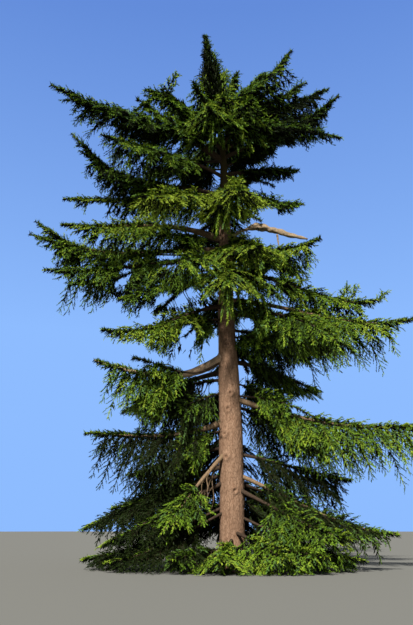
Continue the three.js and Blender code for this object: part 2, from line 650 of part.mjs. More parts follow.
// A mass before its fronds grow: its stem's rings, and the plans of its fronds
function massOf(row, index) {
  const name = row.name + "_foliage";
  const line = boughLine(row);
  const radius = boughRadius(row);
  const whole = lengthOf(line, 0, 1);
  if (row.limb) addLimb(row.name + "_bough", boughSolid(row, line, radius), bark);
  const start = row.limb ? row.bare + CLEAR / whole : 0;
  const from = row.limb ? row.bare + STEM_FOOT / whole : row.bare;
  const steps = Math.max(5, Math.round(lengthOf(line, from, STEM_END) / FROND_PITCH));
  const rings = stemRings(line, radius, start, from, steps);
  place(name, solidOf(massSkin(rings, new Map())).subtract(trunkCutter));
  return { name, rings, plans: frondPlans(row, line, rings, seeded(FIRST_SEED + index)) };
}

// The spire: a stem that goes on from the trunk's top, with short fronds round it that climb
function spire() {
  const name = "top_spire_foliage";
  const from = TRUNK.at(-1).height + CLEAR;
  const foot = -trunkAt(TRUNK.at(-1).height, "lean");
  const line = (t) => new THREE.Vector3(lerp(foot, -SPIRE.lean, t), 0, lerp(from, TREE_HEIGHT, t));
  const ring = (t) => {
    const r = lerp(SPIRE.footGirth, SPIRE.tipGirth, t);
    const corner = (turn) => line(t).add(new THREE.Vector3(r, 0, 0).applyAxisAngle(UP, deg(turn)));
    return { top: corner(200), left: corner(80), right: corner(320) };
  };
  const bare = STEM_FOOT / (TREE_HEIGHT - from);
  const rings = [ring(0)];
  for (let i = 0; i <= SPIRE.steps; i++) rings.push(ring(lerp(bare, STEM_END, i / SPIRE.steps)));
  place(name, solidOf(massSkin(rings, new Map())));
  const end = rings.at(-1);
  const plans = [endPlan(end, line(STEM_END), line(1), end.right.clone().sub(end.left))];
  for (let i = 1; i <= SPIRE.steps; i++) {
    SPIRE_FACES.forEach((face, k) => {
      if ((i + k) % 3 !== 2) plans.push(spirePlan(rings[i], rings[i + 1], i, face));
    });
  }
  return { name, rings, plans };
}

// A frond on one face of the spire, between two rings
function spirePlan(a, b, i, { face, corners, turn, share, mirrored }) {
  const [first, second] = corners;
  return {
    face: `${i} ${face}`, upper: [a[first], b[first]], lower: [a[second], b[second]],
    foot: middleOf([a[first], b[first], a[second], b[second]]),
    along: new THREE.Vector3(Math.cos(deg(turn)), Math.sin(deg(turn)), SPIRE.climb),
    across: UP.clone(), length: share * lerp(SPIRE.footSpread, SPIRE.tipSpread, (i / SPIRE.steps) ** 0.6),
    mirrored,
  };
}

// Limbs and stems come first, so that fronds grow round them
const masses = [...BOUGHS.map(massOf), spire()];

// Fronds grow in turns, one on each mass, so that no mass takes the room of the next
for (const mass of masses) mass.fronds = new Map();
for (let turn = 0; masses.some((mass) => turn < mass.plans.length); turn++) {
  for (const { name, plans, fronds } of masses) {
    if (turn >= plans.length) continue;
    const skin = growFrond(name, plans[turn]);
    if (skin) fronds.set(plans[turn].face, skin);
  }
}
for (const { name, rings, fronds } of masses) {
  addNode(name, fused([solidOf(massSkin(rings, fronds)).subtract(trunkCutter)]), needles);
}

export default tree;
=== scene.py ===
# The looks of a mature Atlas cedar, 28 m tall. Metres, +Z up, origin at the centre of the cut at the ground.
# Headings are in degrees seen from above: 0 is +X, 90 is +Y, away from the camera.

from collections import namedtuple
from math import ceil, cos, exp, pi, radians, sin, tan

import bpy
import numpy as np
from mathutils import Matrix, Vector, noise


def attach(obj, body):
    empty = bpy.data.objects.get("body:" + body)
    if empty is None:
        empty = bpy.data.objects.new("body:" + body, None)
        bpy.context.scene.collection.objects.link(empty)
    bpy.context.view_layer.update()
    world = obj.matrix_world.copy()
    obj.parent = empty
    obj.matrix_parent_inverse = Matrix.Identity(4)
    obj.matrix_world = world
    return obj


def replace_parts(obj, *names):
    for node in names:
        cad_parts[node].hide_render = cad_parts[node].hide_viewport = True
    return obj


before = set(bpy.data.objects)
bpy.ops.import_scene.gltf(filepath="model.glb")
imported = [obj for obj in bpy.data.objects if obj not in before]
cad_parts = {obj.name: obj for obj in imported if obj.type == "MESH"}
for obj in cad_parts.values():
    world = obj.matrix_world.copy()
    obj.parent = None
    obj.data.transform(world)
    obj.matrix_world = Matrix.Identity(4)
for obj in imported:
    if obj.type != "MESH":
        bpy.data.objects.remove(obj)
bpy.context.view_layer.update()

# Camera: at eye height, level with the photo's horizon, and tilted up to take in the top
EYE_HEIGHT = 1.6
CAMERA_X = -1.1006
CAMERA_DISTANCE = 27.343
CAMERA_PITCH = 19.527
CAMERA_LENS = 35
CAMERA_SENSOR = 36

# Trunk: height, radius, lean of the axis towards -X
TRUNK = np.array([
    (0, 0.62, 0),
    (1.2, 0.54, 0),
    (3.5, 0.535, 0),
    (6.0, 0.515, 0.02),
    (8.0, 0.475, 0.08),
    (10.0, 0.415, 0.14),
    (12.5, 0.36, 0.16),
    (15.0, 0.31, 0.17),
    (18.0, 0.215, 0.19),
    (20.0, 0.165, 0.23),
    (22.4, 0.11, 0.5),
])
RADIUS, LEAN = 1, 2
TREE_HEIGHT = 28.0
TRUNK_TOP = 22.4
FLARE_RADIUS = 0.13
FLARE_HEIGHT = 0.42
FLARE_RIDGES = 5
FLARE_RIDGE_DEPTH = 0.07
SPIRE_LEAN = 1.19

# Fronds, by the rule of the solids, where they bend less
STEM_END = 0.84
FROND_PITCH = 0.495
STEM_POINTS = 25
LEAST_STEPS = 5
FROND_BEND = 0.26
SOLID_BEND = 0.16
FROND_KEEL = 0.3
FORK_FOOT = 74
FORK_TIP = 50
SIDE_SHARE = 1.5
SECOND_SHARE = 0.85
HANG_SHARE = 1.4
HANG_SHADE = 0.35
HANGS_AT_EACH = 0.8
LONGEST_FROND = 2.1
STEEPEST = 0.8
HANG_LEAN = 0.45
END_FORK = 0.5
END_FORK_SHARE = 0.7
END_LENGTH = 1.05
HUG_PITCH = 0.27
HUG_RADIUS = 0.06
HUG_END = 0.94
HUG_SHADE_BELOW, HUG_SHADE_ABOVE = 0.5, -0.1
BOUGH_TIP_RADIUS = 0.012
BOUGH_TAPER = 0.75
FULL_WIDTH_AT = 0.25
TIP_NARROWS = 0.6
# From the ground, the high boughs show their shaded undersides, those towards the sun their tops
SHADE_FOOT = 10.0
SHADE_SPAN = 8.0
SUNNY_SHARE = 0.85

# The boughs: name, height on the trunk, heading, turn, reach, height of the tip, slope at the trunk and at
# the tip, radius at the trunk, bare share, half width of the foliage, how far its edge hangs, and how much
# deeper in shade it stands, below 0 where it is sunnier
BOUGHS = [
    ("right_rising_top", 22.1, 335, -5, 3.85, 25.15, 50, 50, 0.08, 0.2, 1.9, 0.9, 0),
    ("right_back_top", 21.8, 12, 0, 6.0, 25.3, 25, 30, 0.075, 0.15, 1.6, 0.9, 1.4),
    ("right_middle_top", 20.95, 352, 0, 5.25, 22.15, 20, 4, 0.08, 0.2, 1.4, 0.6, 1.5),
    ("right_long_top", 19.9, 345, 0, 5.9, 22.6, 26, 42, 0.095, 0.2, 1.3, 0.6, 1.2),
    ("right_drooping_top", 20.25, 325, 10, 5.9, 19.35, 24, -28, 0.09, 0.25, 1.0, 0.3, 1),
    ("right_under_top", 19.4, 35, 0, 3.4, 21.9, 25, 0, 0.085, 0.15, 1.1, 0.35, 1.4),
    ("right_flat_upper", 18.9, 20, -8, 3.9, 19.65, 22, -4, 0.095, 0.2, 0.8, 0.4, 0.7),
    ("right_comb_upper", 17.9, 3, 0, 3.85, 17.3, -14, 9, 0.1, 0.2, 0.7, 0.4, 0.3),
    ("front_right_top", 20.5, 292, -4, 3.6, 20.9, 18, -24, 0.08, 0.2, 1.5, 1.2, 0.1),
    ("front_left_top", 21.05, 256, 0, 4.3, 19.9, 24, -20, 0.085, 0.2, 1.7, 1.3, -0.1),
    ("left_arched_top", 20.3, 206, 8, 3.95, 22.3, 40, 20, 0.085, 0.2, 1.6, 0.9, 0),
    ("left_second_top", 19.8, 212, 0, 5.3, 21.4, 18, 16, 0.085, 0.3, 1.5, 0.9, 0),
    ("left_longest_top", 19.6, 206, 0, 9.3, 21.15, 30, 14, 0.125, 0.3, 1.5, 0.9, 0.4),
    ("left_inner_upper", 18.7, 212, 0, 7.0, 18.7, 14, 4, 0.11, 0.25, 1.8, 1.3, 0),
    ("left_upturned", 17.6, 188, 4, 8.0, 20.2, 16, 50, 0.125, 0.3, 1.4, 0.95, 0.35),
    ("left_flat_upper", 17.0, 176, 4, 8.4, 17.45, 8, -2, 0.115, 0.3, 1.15, 0.55, -0.5),
    ("back_right_top", 21.2, 75, 0, 5.6, 23.6, 25, 20, 0.08, 0.15, 1.5, 0.6, 0),
    ("back_left_top", 19.7, 135, 0, 6.6, 21.9, 25, 12, 0.09, 0.2, 1.6, 0.7, 0),
    ("back_upper", 17.7, 98, 0, 7.0, 18.6, 20, -6, 0.11, 0.25, 1.7, 0.9, 0),
    ("front_upper", 17.3, 274, 0, 5.1, 14.9, 4, -34, 0.105, 0.25, 1.9, 1.4, -0.9),
    ("front_left_upper", 16.7, 231, 0, 6.4, 14.7, 8, -26, 0.115, 0.25, 1.8, 1.1, -0.8),
    ("left_high_middle", 15.0, 196, 3, 8.1, 14.6, 22, -4, 0.205, 0.34, 1.5, 1.1, -0.45),
    ("left_longest_middle", 14.5, 178, 4, 9.6, 16.0, 10, 42, 0.19, 0.34, 1.6, 1.2, 0),
    ("left_low_middle", 14.1, 190, 0, 8.7, 12.85, -2, 2, 0.15, 0.3, 1.5, 1.5, 0.2),
    ("front_left_middle", 13.7, 238, 0, 5.6, 11.7, 4, -24, 0.115, 0.3, 1.7, 1.2, 0),
    ("back_right_middle", 15.4, 55, 0, 6.9, 15.6, 16, -10, 0.135, 0.25, 1.8, 1.0, 0),
    ("back_left_middle", 13.6, 122, 0, 7.8, 13.5, 14, -12, 0.15, 0.25, 1.9, 1.1, 0),
    ("front_right_middle", 14.1, 320, 2, 5.0, 13.7, 4, 14, 0.13, 0.2, 1.6, 1.2, -0.45),
    ("front_middle", 13.4, 272, -5, 4.9, 10.7, 0, -38, 0.125, 0.25, 2.0, 1.5, -0.4),
    ("right_high_middle", 13.3, 352, -2, 7.0, 11.5, 6, 14, 0.15, 0.36, 1.6, 1.1, 0),
    ("right_longest_middle", 11.9, 342, -2, 8.25, 10.0, -6, 8, 0.15, 0.34, 1.9, 1.5, -0.1),
    ("right_back_middle", 11.3, 40, 0, 7.5, 10.6, 8, -16, 0.14, 0.25, 1.8, 1.3, 0),
    ("front_left_lower", 11.6, 218, -6, 6.4, 9.35, -10, 6, 0.12, 0.25, 1.45, 1.0, -0.35),
    ("right_weeping", 11.0, 322, 0, 6.1, 8.3, 4, -46, 0.12, 0.3, 1.5, 1.3, 0.3),
    ("back_right_lower", 8.9, 52, -6, 7.3, 8.6, 8, -8, 0.14, 0.25, 1.8, 1.4, 0),
    ("left_thick_lower", 9.3, 194, 0, 6.2, 8.55, -42, 15, 0.255, 0.38, 1.7, 1.5, 0),
    ("back_left_lower", 8.4, 138, 0, 7.5, 7.4, 4, -14, 0.15, 0.25, 1.9, 1.5, 1.6),
    ("right_lower", 7.25, 344, 2, 8.7, 5.65, -24, 6, 0.16, 0.2, 2.0, 1.7, 0.1),
    ("left_lower", 6.25, 186, 0, 6.4, 5.5, -28, 2, 0.18, 0.2, 1.9, 1.7, 1.7),
    ("back_lower", 6.0, 92, 0, 7.7, 4.6, 0, -18, 0.14, 0.25, 2.0, 1.5, 1.4),
    ("left_lowest", 4.95, 218, 8, 3.9, 1.5, -38, -42, 0.14, 0.52, 1.3, 0.7, 0.5),
    ("left_ground", 3.6, 196, 0, 5.5, 0.9, -22, -26, 0.11, 0.3, 1.6, 0.8, 2.3),
    ("back_left_lowest", 4.2, 158, 6, 7.0, 1.5, -8, -26, 0.12, 0.25, 1.9, 0.9, 2.3),
    ("right_lowest", 3.9, 348, -2, 6.7, 1.35, -22, -4, 0.115, 0.2, 1.7, 0.9, 1.1),
    ("back_right_lowest", 3.5, 40, 0, 6.8, 1.4, -8, -24, 0.11, 0.25, 1.8, 0.9, 1.4),
    ("front_right_lowest", 3.3, 322, -4, 5.6, 1.2, -22, -10, 0.105, 0.35, 1.5, 0.9, 0.5),
    ("front_lowest", 1.45, 292, 0, 4.9, 0.55, -6, -6, 0.1, 0.3, 1.5, 0.7, 0),
    ("front_left_lowest", 1.15, 262, 0, 4.6, 0.5, -4, -6, 0.095, 0.3, 1.5, 0.7, 0),
]
# More boughs, most of them short ones inside the crown, in the same terms
INNER_BOUGHS = [
    ("top_front", 21.9, 265, 0, 2.8, 21.5, 30, -20, 0.06, 0.1, 1.7, 1.1, -0.1),
    ("peak_right", 22.3, 350, 0, 1.9, 24.5, 50, 40, 0.05, 0.1, 1.2, 0.9, -0.1),
    ("peak_lump", 22.4, 350, 0, 0.6, 25.3, 72, 60, 0.045, 0.2, 0.9, 0.6, -0.1),
    ("peak_step", 22.2, 350, 0, 2.1, 25.1, 50, 45, 0.045, 0.2, 1.1, 0.8, -0.1),
    ("peak_dip", 22.0, 352, 0, 2.9, 24.4, 35, 35, 0.045, 0.2, 0.9, 0.6, 0.3),
    ("arm_left", 20.2, 206, 0, 4.7, 22.55, 45, -15, 0.05, 0.35, 0.7, 0.5, 0.3),
    ("arm_arch", 20.2, 208, 0, 5.2, 20.9, 50, -60, 0.05, 0.45, 0.6, 0.6, 0.3),
    ("small_left", 21.9, 232, 0, 2.9, 22.9, 20, 25, 0.045, 0.2, 0.9, 0.7, 0.3),
    ("long_right", 22.0, 5, 0, 4.5, 25.1, 30, 40, 0.055, 0.2, 1.1, 0.7, 0.8),
    ("top_right", 20.9, 320, 0, 3.2, 20.6, 20, -20, 0.06, 0.1, 1.6, 0.7, 0.6),
    ("top_left", 21.3, 215, 0, 3.6, 21.9, 25, 10, 0.06, 0.1, 1.6, 1.0, 0.3),
    ("dark_top_left", 19.2, 165, 0, 3.2, 19.0, 10, -20, 0.06, 0.15, 1.5, 1.3, 1.5),
    ("dark_top_right", 18.7, 25, 0, 2.8, 18.9, 10, -20, 0.06, 0.15, 1.3, 1.1, 1.5),
    ("high_cover", 14.9, 215, 0, 3.9, 14.3, 0, -15, 0.06, 0.35, 1.2, 0.9, 0.3),
    ("back_top", 21.3, 105, 0, 4.6, 22.6, 25, 0, 0.06, 0.15, 1.6, 1.0, 0.3),
    ("back_crown", 19.0, 80, 0, 5.0, 20.3, 20, 0, 0.06, 0.2, 1.6, 1.0, 0.3),
    ("back_high", 16.4, 118, 0, 5.4, 17.0, 15, -5, 0.07, 0.2, 1.7, 1.1, 0.3),
    ("back_second", 15.9, 80, 0, 5.6, 16.6, 15, -5, 0.07, 0.2, 1.7, 1.1, 0.3),
    ("back_middle", 12.6, 92, 0, 6.2, 12.6, 10, -10, 0.08, 0.2, 1.8, 1.2, 0.3),
    ("back_waist", 10.0, 78, 0, 6.0, 9.8, 10, -10, 0.08, 0.2, 1.8, 1.3, 0.6),
    ("back_near_ground", 7.6, 104, 0, 6.2, 7.0, 6, -12, 0.08, 0.2, 1.9, 1.4, 1),
    ("back_ground", 3.0, 95, 0, 6.4, 1.4, -6, -14, 0.08, 0.2, 1.8, 0.9, 1.2),
    ("trunk_right", 11.7, 322, 0, 2.3, 10.9, 0, -30, 0.05, 0.2, 0.9, 1.2, 0.2),
    ("trunk_low", 10.0, 330, 0, 2.2, 9.5, 0, -30, 0.05, 0.2, 0.8, 0.9, 0.5),
    ("thick_cover", 9.3, 206, 0, 4.8, 8.5, -52, 0, 0.07, 0.48, 1.0, 0.8, 0.3),
    ("right_arch", 7.3, 335, 0, 3.9, 5.95, -10, -38, 0.06, 0.3, 1.1, 0.7, 0.4),
    ("upper_front", 16.9, 262, 0, 3.8, 15.0, 0, -20, 0.075, 0.1, 1.5, 1.2, -0.7),
    ("middle_front", 14.6, 286, 0, 4.4, 12.8, 5, -20, 0.09, 0.15, 2.0, 1.2, -0.4),
    ("middle_right", 13.0, 305, 0, 4.4, 11.4, 5, -20, 0.09, 0.2, 1.7, 1.3, 0.3),
    ("middle_left", 10.9, 205, 0, 4.0, 9.9, 0, -10, 0.08, 0.2, 1.5, 1.3, 0.3),
    ("right_back", 10.4, 18, 0, 4.8, 9.6, 5, -10, 0.09, 0.15, 1.8, 1.6, 0.7),
    ("left_back", 8.0, 165, 0, 4.8, 7.3, 5, -10, 0.09, 0.15, 1.8, 1.6, 1.6),
    ("lower_right", 6.8, 20, 0, 5.2, 5.4, -5, -10, 0.09, 0.15, 1.9, 1.8, 0.9),
    ("lower_left", 5.0, 160, 0, 5.0, 3.9, -5, -10, 0.09, 0.2, 1.9, 1.8, 1.8),
    ("ground_front", 1.0, 308, 0, 5.3, 0.6, -8, -8, 0.08, 0.3, 1.5, 0.7, 0.3),
    ("ground_left", 0.9, 238, 0, 4.6, 0.5, -8, -8, 0.07, 0.3, 1.3, 0.7, 1.3),
    ("longest_left", 14.2, 180, 3, 9.8, 15.2, 4, 20, 0.06, 0.72, 1.0, 0.7, 0.3),
    ("right_knot", 17.2, 340, 0, 1.7, 15.9, -20, -40, 0.05, 0.15, 0.7, 0.6, 0.3),
    ("left_arch", 10.6, 195, 0, 2.2, 9.9, 20, -50, 0.08, 0.3, 0.8, 0.8, 0.3),
    ("left_stub", 5.7, 190, 0, 2.6, 4.9, 0, -20, 0.06, 0.3, 1.1, 1.0, 0.3),
    ("near_left", 7.4, 200, 0, 2.6, 6.6, 0, -10, 0.06, 0.25, 1.1, 1.2, 1.2),
    ("near_right", 7.9, 30, 0, 3.0, 7.3, 0, -10, 0.06, 0.25, 1.2, 1.3, 0.8),
    ("dark_left", 3.9, 130, 0, 3.2, 3.2, 0, -10, 0.06, 0.25, 1.3, 1.3, 1.6),
    ("dark_right", 3.6, 60, 0, 3.4, 2.9, 0, -10, 0.06, 0.25, 1.4, 1.3, 1.6),
    ("low_left", 3.8, 176, 0, 5.2, 2.4, -6, -10, 0.09, 0.2, 1.8, 1.4, 2.4),
    ("skirt_left", 2.4, 208, 0, 5.6, 0.35, -22, -4, 0.07, 0.3, 1.8, 0.6, 2.2),
    ("skirt_side", 2.6, 186, 0, 6.2, 0.4, -22, -4, 0.07, 0.3, 1.9, 0.6, 2.3),
    ("skirt_right", 2.2, 338, 0, 5.4, 0.4, -22, -4, 0.07, 0.3, 1.6, 0.6, 0.9),
    ("longest_top", 19.45, 206, 0, 8.4, 20.75, 30, 12, 0.06, 0.4, 1.2, 0.8, 0.9),
    ("upturned", 17.45, 188, 4, 7.2, 19.1, 16, 45, 0.06, 0.4, 1.1, 0.9, 0.9),
    ("long_top", 19.8, 345, 0, 5.5, 22.2, 26, 42, 0.06, 0.35, 1.1, 0.7, 1.2),
    ("flat_upper", 18.8, 20, -8, 3.6, 19.45, 22, -4, 0.05, 0.3, 0.8, 0.5, 1.2),
    ("comb_upper", 17.85, 3, 0, 3.6, 17.2, -14, 8, 0.05, 0.3, 0.7, 0.5, 1),
    ("left_hang", 13.4, 196, 0, 5.3, 11.4, 8, -16, 0.06, 0.35, 1.2, 0.9, 0.7),
    ("longest_under", 14.3, 172, 0, 8.0, 13.2, 4, 0, 0.06, 0.5, 1.3, 1.1, 1.7),
    ("foot_left", 2.7, 150, 0, 3.4, 1.6, -8, -14, 0.06, 0.2, 1.4, 1.1, 1.9),
    ("foot_right", 2.8, 38, 0, 3.4, 1.8, -8, -14, 0.06, 0.2, 1.4, 1.1, 1.9),
    ("low_right", 4.7, 8, 0, 5.4, 3.6, -5, -6, 0.09, 0.2, 1.9, 1.6, 1.8),
]
Bough = namedtuple("Bough", "name leaves heading turn reach tip rise end girth bare spread hang gloom")
ROWS = [Bough(*row) for row in BOUGHS + INNER_BOUGHS]

UP = np.array([0.0, 0.0, 1.0])
SIDEWAYS = np.array([1.0, 0, 0])
LEVEL = np.array([1, 1, 0])
# For directions square to one that may be upright
NEARLY_UP = UP + (0.01, 0, 0)
GROUND_CLEAR = 0.03
TWIG_CLEAR = 2 * GROUND_CLEAR
# The turn from one frond or tuft to the next round a stem
GOLDEN_TURN = 2.4
# One seed for all that is drawn in turn, and one each for the tufts and twigs with draws of their own
TREE_SEED = 28
SPUR_SEED = 300
SHADE_SEED = 400
TUFT_SEED = 500
DEAD_SEED = 700
draw = np.random.default_rng(TREE_SEED)


def unit(v):
    return v / np.maximum(np.linalg.norm(v, axis=-1, keepdims=True), 1e-9)


def turned(v, angle):
    """A level vector turned about the vertical"""
    c, s = cos(angle), sin(angle)
    return np.array([c * v[0] - s * v[1], s * v[0] + c * v[1], v[2]])


def turns_round(count):
    return np.arange(count) / count * 2 * pi


def length_of(points):
    return float(np.linalg.norm(np.diff(points, axis=0), axis=1).sum())


def keep_up(points, least=GROUND_CLEAR):
    """Lift the points that lie lower than a height"""
    points[..., 2] = np.maximum(points[..., 2], least)


def smooth(t, start, leaving, end, arriving):
    """A curve from start to end, with its slopes at both"""
    t2, t3 = t * t, t * t * t
    return ((2 * t3 - 3 * t2 + 1) * start + (t3 - 2 * t2 + t) * leaving
            + (3 * t2 - 2 * t3) * end + (t3 - t2) * arriving)


def trunk_at(height, column):
    """One column of the trunk's table at some heights, on a smooth curve through its rows"""
    z = np.asarray(height, float)
    last = len(TRUNK) - 1
    i = np.clip(np.searchsorted(TRUNK[:, 0], z, side="right") - 1, 0, last - 1)
    a, b = TRUNK[i], TRUNK[i + 1]
    before, after = TRUNK[np.maximum(i - 1, 0)], TRUNK[np.minimum(i + 2, last)]
    span = b[..., 0] - a[..., 0]
    start = (b[..., column] - before[..., column]) * span / np.maximum(b[..., 0] - before[..., 0], 1e-3)
    end = (after[..., column] - a[..., column]) * span / np.maximum(after[..., 0] - a[..., 0], 1e-3)
    return smooth((z - a[..., 0]) / span, a[..., column], start, b[..., column], end)


def bough_line(row, t):
    """Points of a bough's centre line, for t from 0 at the trunk's axis to 1 at the tip"""
    t = np.asarray(t, float)
    start = row.reach * tan(radians(row.rise))
    end = row.reach * tan(radians(row.end))
    heading = np.radians(row.heading + row.turn * t)
    foot = -float(trunk_at(row.leaves, LEAN))
    return np.stack([
        foot * (1 - t) + row.reach * t * np.cos(heading),
        row.reach * t * np.sin(heading),
        smooth(t, row.leaves, start, row.tip, end),
    ], -1)


def bough_radius(row, t):
    return row.girth + (BOUGH_TIP_RADIUS - row.girth) * t ** BOUGH_TAPER


def width_share(u):
    """The width of a mass along its stem: full a quarter of the way out, narrow at the tip"""
    past = max(0, (u - FULL_WIDTH_AT) / (1 - FULL_WIDTH_AT))
    return min(1 - FULL_WIDTH_AT + u, 1) * (1 - TIP_NARROWS * past ** 1.3)


class Fronds:
    """Foot, direction, across, length and shade of each frond, and how far it shows its underside"""
    def __init__(self):
        self.foot, self.along, self.across, self.length, self.shade, self.under = [], [], [], [], [], []

    def add(self, foot, along, across, length, shade=0.0, under=1.0):
        along = unit(np.asarray(along, float))
        across = np.asarray(across, float)
        self.foot.append(foot)
        self.along.append(along)
        self.across.append(unit(across - along * across.dot(along)))
        self.length.append(length)
        self.shade.append(shade)
        self.under.append(under * min(max((foot[2] - SHADE_FOOT) / SHADE_SPAN, 0), 1))

    def close(self):
        """Make the lists arrays, once the last frond is in"""
        self.foot, self.along, self.across = map(np.array, (self.foot, self.along, self.across))
        self.length, self.shade, self.under = map(np.array, (self.length, self.shade, self.under))


fronds = Fronds()


def end_fronds(row, under):
    """The three fronds that a bough ends in"""
    foot = bough_line(row, STEM_END)
    way = bough_line(row, 1.0) - foot
    across = turned(unit(way * LEVEL), pi / 2)
    length = np.linalg.norm(way) * END_LENGTH
    fronds.add(foot, way + UP * FROND_BEND * length, across, length)
    for side in (1, -1):
        fork = side * END_FORK
        fronds.add(foot, turned(way, fork), turned(across, fork), END_FORK_SHARE * length, row.gloom, under)


def stem_fronds(row, under):
    """At each half step a frond on each side of the bough, one above, and often one that hangs"""
    stem = bough_line(row, np.linspace(row.bare, STEM_END, STEM_POINTS))
    steps = max(LEAST_STEPS, round(length_of(stem) / FROND_PITCH))
    fall = row.hang / row.spread - (FROND_BEND - SOLID_BEND)
    for i in range(2 * steps):
        u = (i / 2 + 0.5) / steps
        t = row.bare + (STEM_END - row.bare) * u
        at = bough_line(row, t)
        flat = unit((bough_line(row, t + 0.01) - bough_line(row, t - 0.01)) * LEVEL)
        share = width_share(u)
        for side in (1, -1):
            length = row.spread * SIDE_SHARE * share * draw.uniform(0.7, 1.1)
            if (i // 2 + (side > 0)) % 2:
                length *= SECOND_SHARE
            fork = radians(FORK_FOOT + (FORK_TIP - FORK_FOOT) * u + draw.uniform(-9, 9))
            along = unit(turned(flat, side * fork) - UP * fall * draw.uniform(0.5, 1.3))
            if along[2] < -STEEPEST:
                along = unit(np.array([along[0], along[1], -STEEPEST]))
            fronds.add(at, along, flat * side, min(length, LONGEST_FROND), row.gloom, under)
        way = turned(flat, draw.uniform(-0.8, 0.8)) + UP * draw.uniform(0.4, 0.9)
        length = draw.uniform(0.5, 0.9) * (0.5 + 0.5 * share)
        fronds.add(at, way, turned(flat, pi / 2), length, row.gloom, under)
        if i % 2 or share > HANGS_AT_EACH:
            length = row.hang * HANG_SHARE * (0.6 + 0.4 * share) * draw.uniform(0.8, 1.15)
            way = turned(flat, draw.uniform(-0.9, 0.9)) * HANG_LEAN - UP
            fronds.add(at, way, flat, min(length, LONGEST_FROND), HANG_SHADE + row.gloom, under)


def hugging_places(row):
    """Places of the short sprays that cover a bough's wood, closer where it is thick"""
    t = row.bare
    while t < HUG_END:
        yield t
        t += HUG_PITCH / row.reach / (1 + bough_radius(row, t) / HUG_RADIUS)


def hugging_fronds(row, under):
    """The short sprays that cover a bough's wood, darker on its underside and a little lighter on top:
    painted shade and light
    """
    for t in hugging_places(row):
        at = bough_line(row, t)
        ahead = unit(bough_line(row, min(t + 0.01, 1)) - bough_line(row, t - 0.01))
        turn = draw.uniform(0, 2 * pi)
        side = unit(np.cross(ahead, UP))
        around = side * cos(turn) + np.cross(side, ahead) * sin(turn)
        way = ahead * draw.uniform(0.6, 1.5) + around
        length = draw.uniform(0.35, 0.6) * (1.15 - 0.4 * t)
        shade = row.gloom + (HUG_SHADE_BELOW if around[2] < 0 else HUG_SHADE_ABOVE)
        foot = at + around * 0.7 * bough_radius(row, t)
        fronds.add(foot, way, np.cross(ahead, around), length, shade, under)


def bough_fronds(row):
    under = 1 - SUNNY_SHARE * max(0, -sin(radians(row.heading)))
    end_fronds(row, under)
    stem_fronds(row, under)
    hugging_fronds(row, under)


# The spire and the leaders: fronds all round, longer where they start
SPIRE_STEPS = 60
SPIRE_LUMPS = 28
SPIRE_WIDENS = 2.3
SPIRE_SHORTEST, SPIRE_LONGEST = 0.3, 1.5
SPIRE_TIP_FROND = 0.42
SPIRE_RADIUS, SPIRE_TIP_RADIUS = 0.11, 0.01
# How much longer the spire's fronds are, and how deep in shade, on its right and elsewhere
SPIRE_RIGHT = (1.15, 1.0)
SPIRE_REST = (1.1, 2.3)
LEADER_PITCH = 0.09
LEADER_TIP_FROND = 0.3
# Foot, tip and longest frond
LEADERS = [
    ((-3.25, -2.2, 22.1), (-2.63, -2.2, 23.45), 0.7),
    ((5.05, -0.8, 11.6), (5.55, -0.8, 12.35), 0.45),
    ((5.55, -0.8, 11.6), (5.92, -0.8, 12.3), 0.4),
    ((6.76, -1.0, 11.54), (7.18, -1.0, 11.93), 0.45),
]


def spire_point(t):
    start = np.array([-float(trunk_at(TRUNK_TOP, LEAN)), 0, TRUNK_TOP])
    return start + (np.array([-SPIRE_LEAN, 0, TREE_HEIGHT]) - start) * t


def spire_fronds():
    for i in range(SPIRE_STEPS):
        t = 0.03 + 0.95 * i / SPIRE_STEPS
        length = min(max(0.25 + SPIRE_WIDENS * (0.9 - t), SPIRE_SHORTEST), SPIRE_LONGEST)
        for k in range(2):
            turn = i * GOLDEN_TURN + k * pi + draw.uniform(-0.4, 0.4)
            out = np.array([cos(turn), sin(turn), 1.0 + 0.9 * t])
            longer, shade = SPIRE_RIGHT if out[0] > 0.3 else SPIRE_REST
            fronds.add(spire_point(t), out, UP, length * draw.uniform(0.75, 1.05) * longer, shade)
    for i in range(SPIRE_LUMPS):
        t = 0.02 + 0.40 * i / SPIRE_LUMPS
        turn = draw.uniform(-0.9, 0.9) if i % 4 else pi + draw.uniform(-0.6, 0.6)
        out = np.array([cos(turn), sin(turn), draw.uniform(1.0, 1.7)])
        fronds.add(spire_point(t), out, UP, 1.8 - 1.2 * t)
    fronds.add(spire_point(0.93), np.array([-0.05, 0, 1.0]), SIDEWAYS, SPIRE_TIP_FROND)


def leader_fronds(foot, tip, longest):
    """The fronds of an upright leader that stands on a bough"""
    foot, tip = np.array(foot), np.array(tip)
    steps = round(np.linalg.norm(tip - foot) / LEADER_PITCH)
    for i in range(steps):
        t = i / steps
        turn = i * GOLDEN_TURN + draw.uniform(-0.4, 0.4)
        out = turned(SIDEWAYS, turn) + unit(tip - foot) * (1.0 + 0.9 * t)
        length = (longest + (LEADER_TIP_FROND - longest) * t) * draw.uniform(0.75, 1.05)
        fronds.add(foot + (tip - foot) * t, out, UP, length)


for row in ROWS:
    bough_fronds(row)
spire_fronds()
for leader in LEADERS:
    leader_fronds(*leader)
fronds.close()

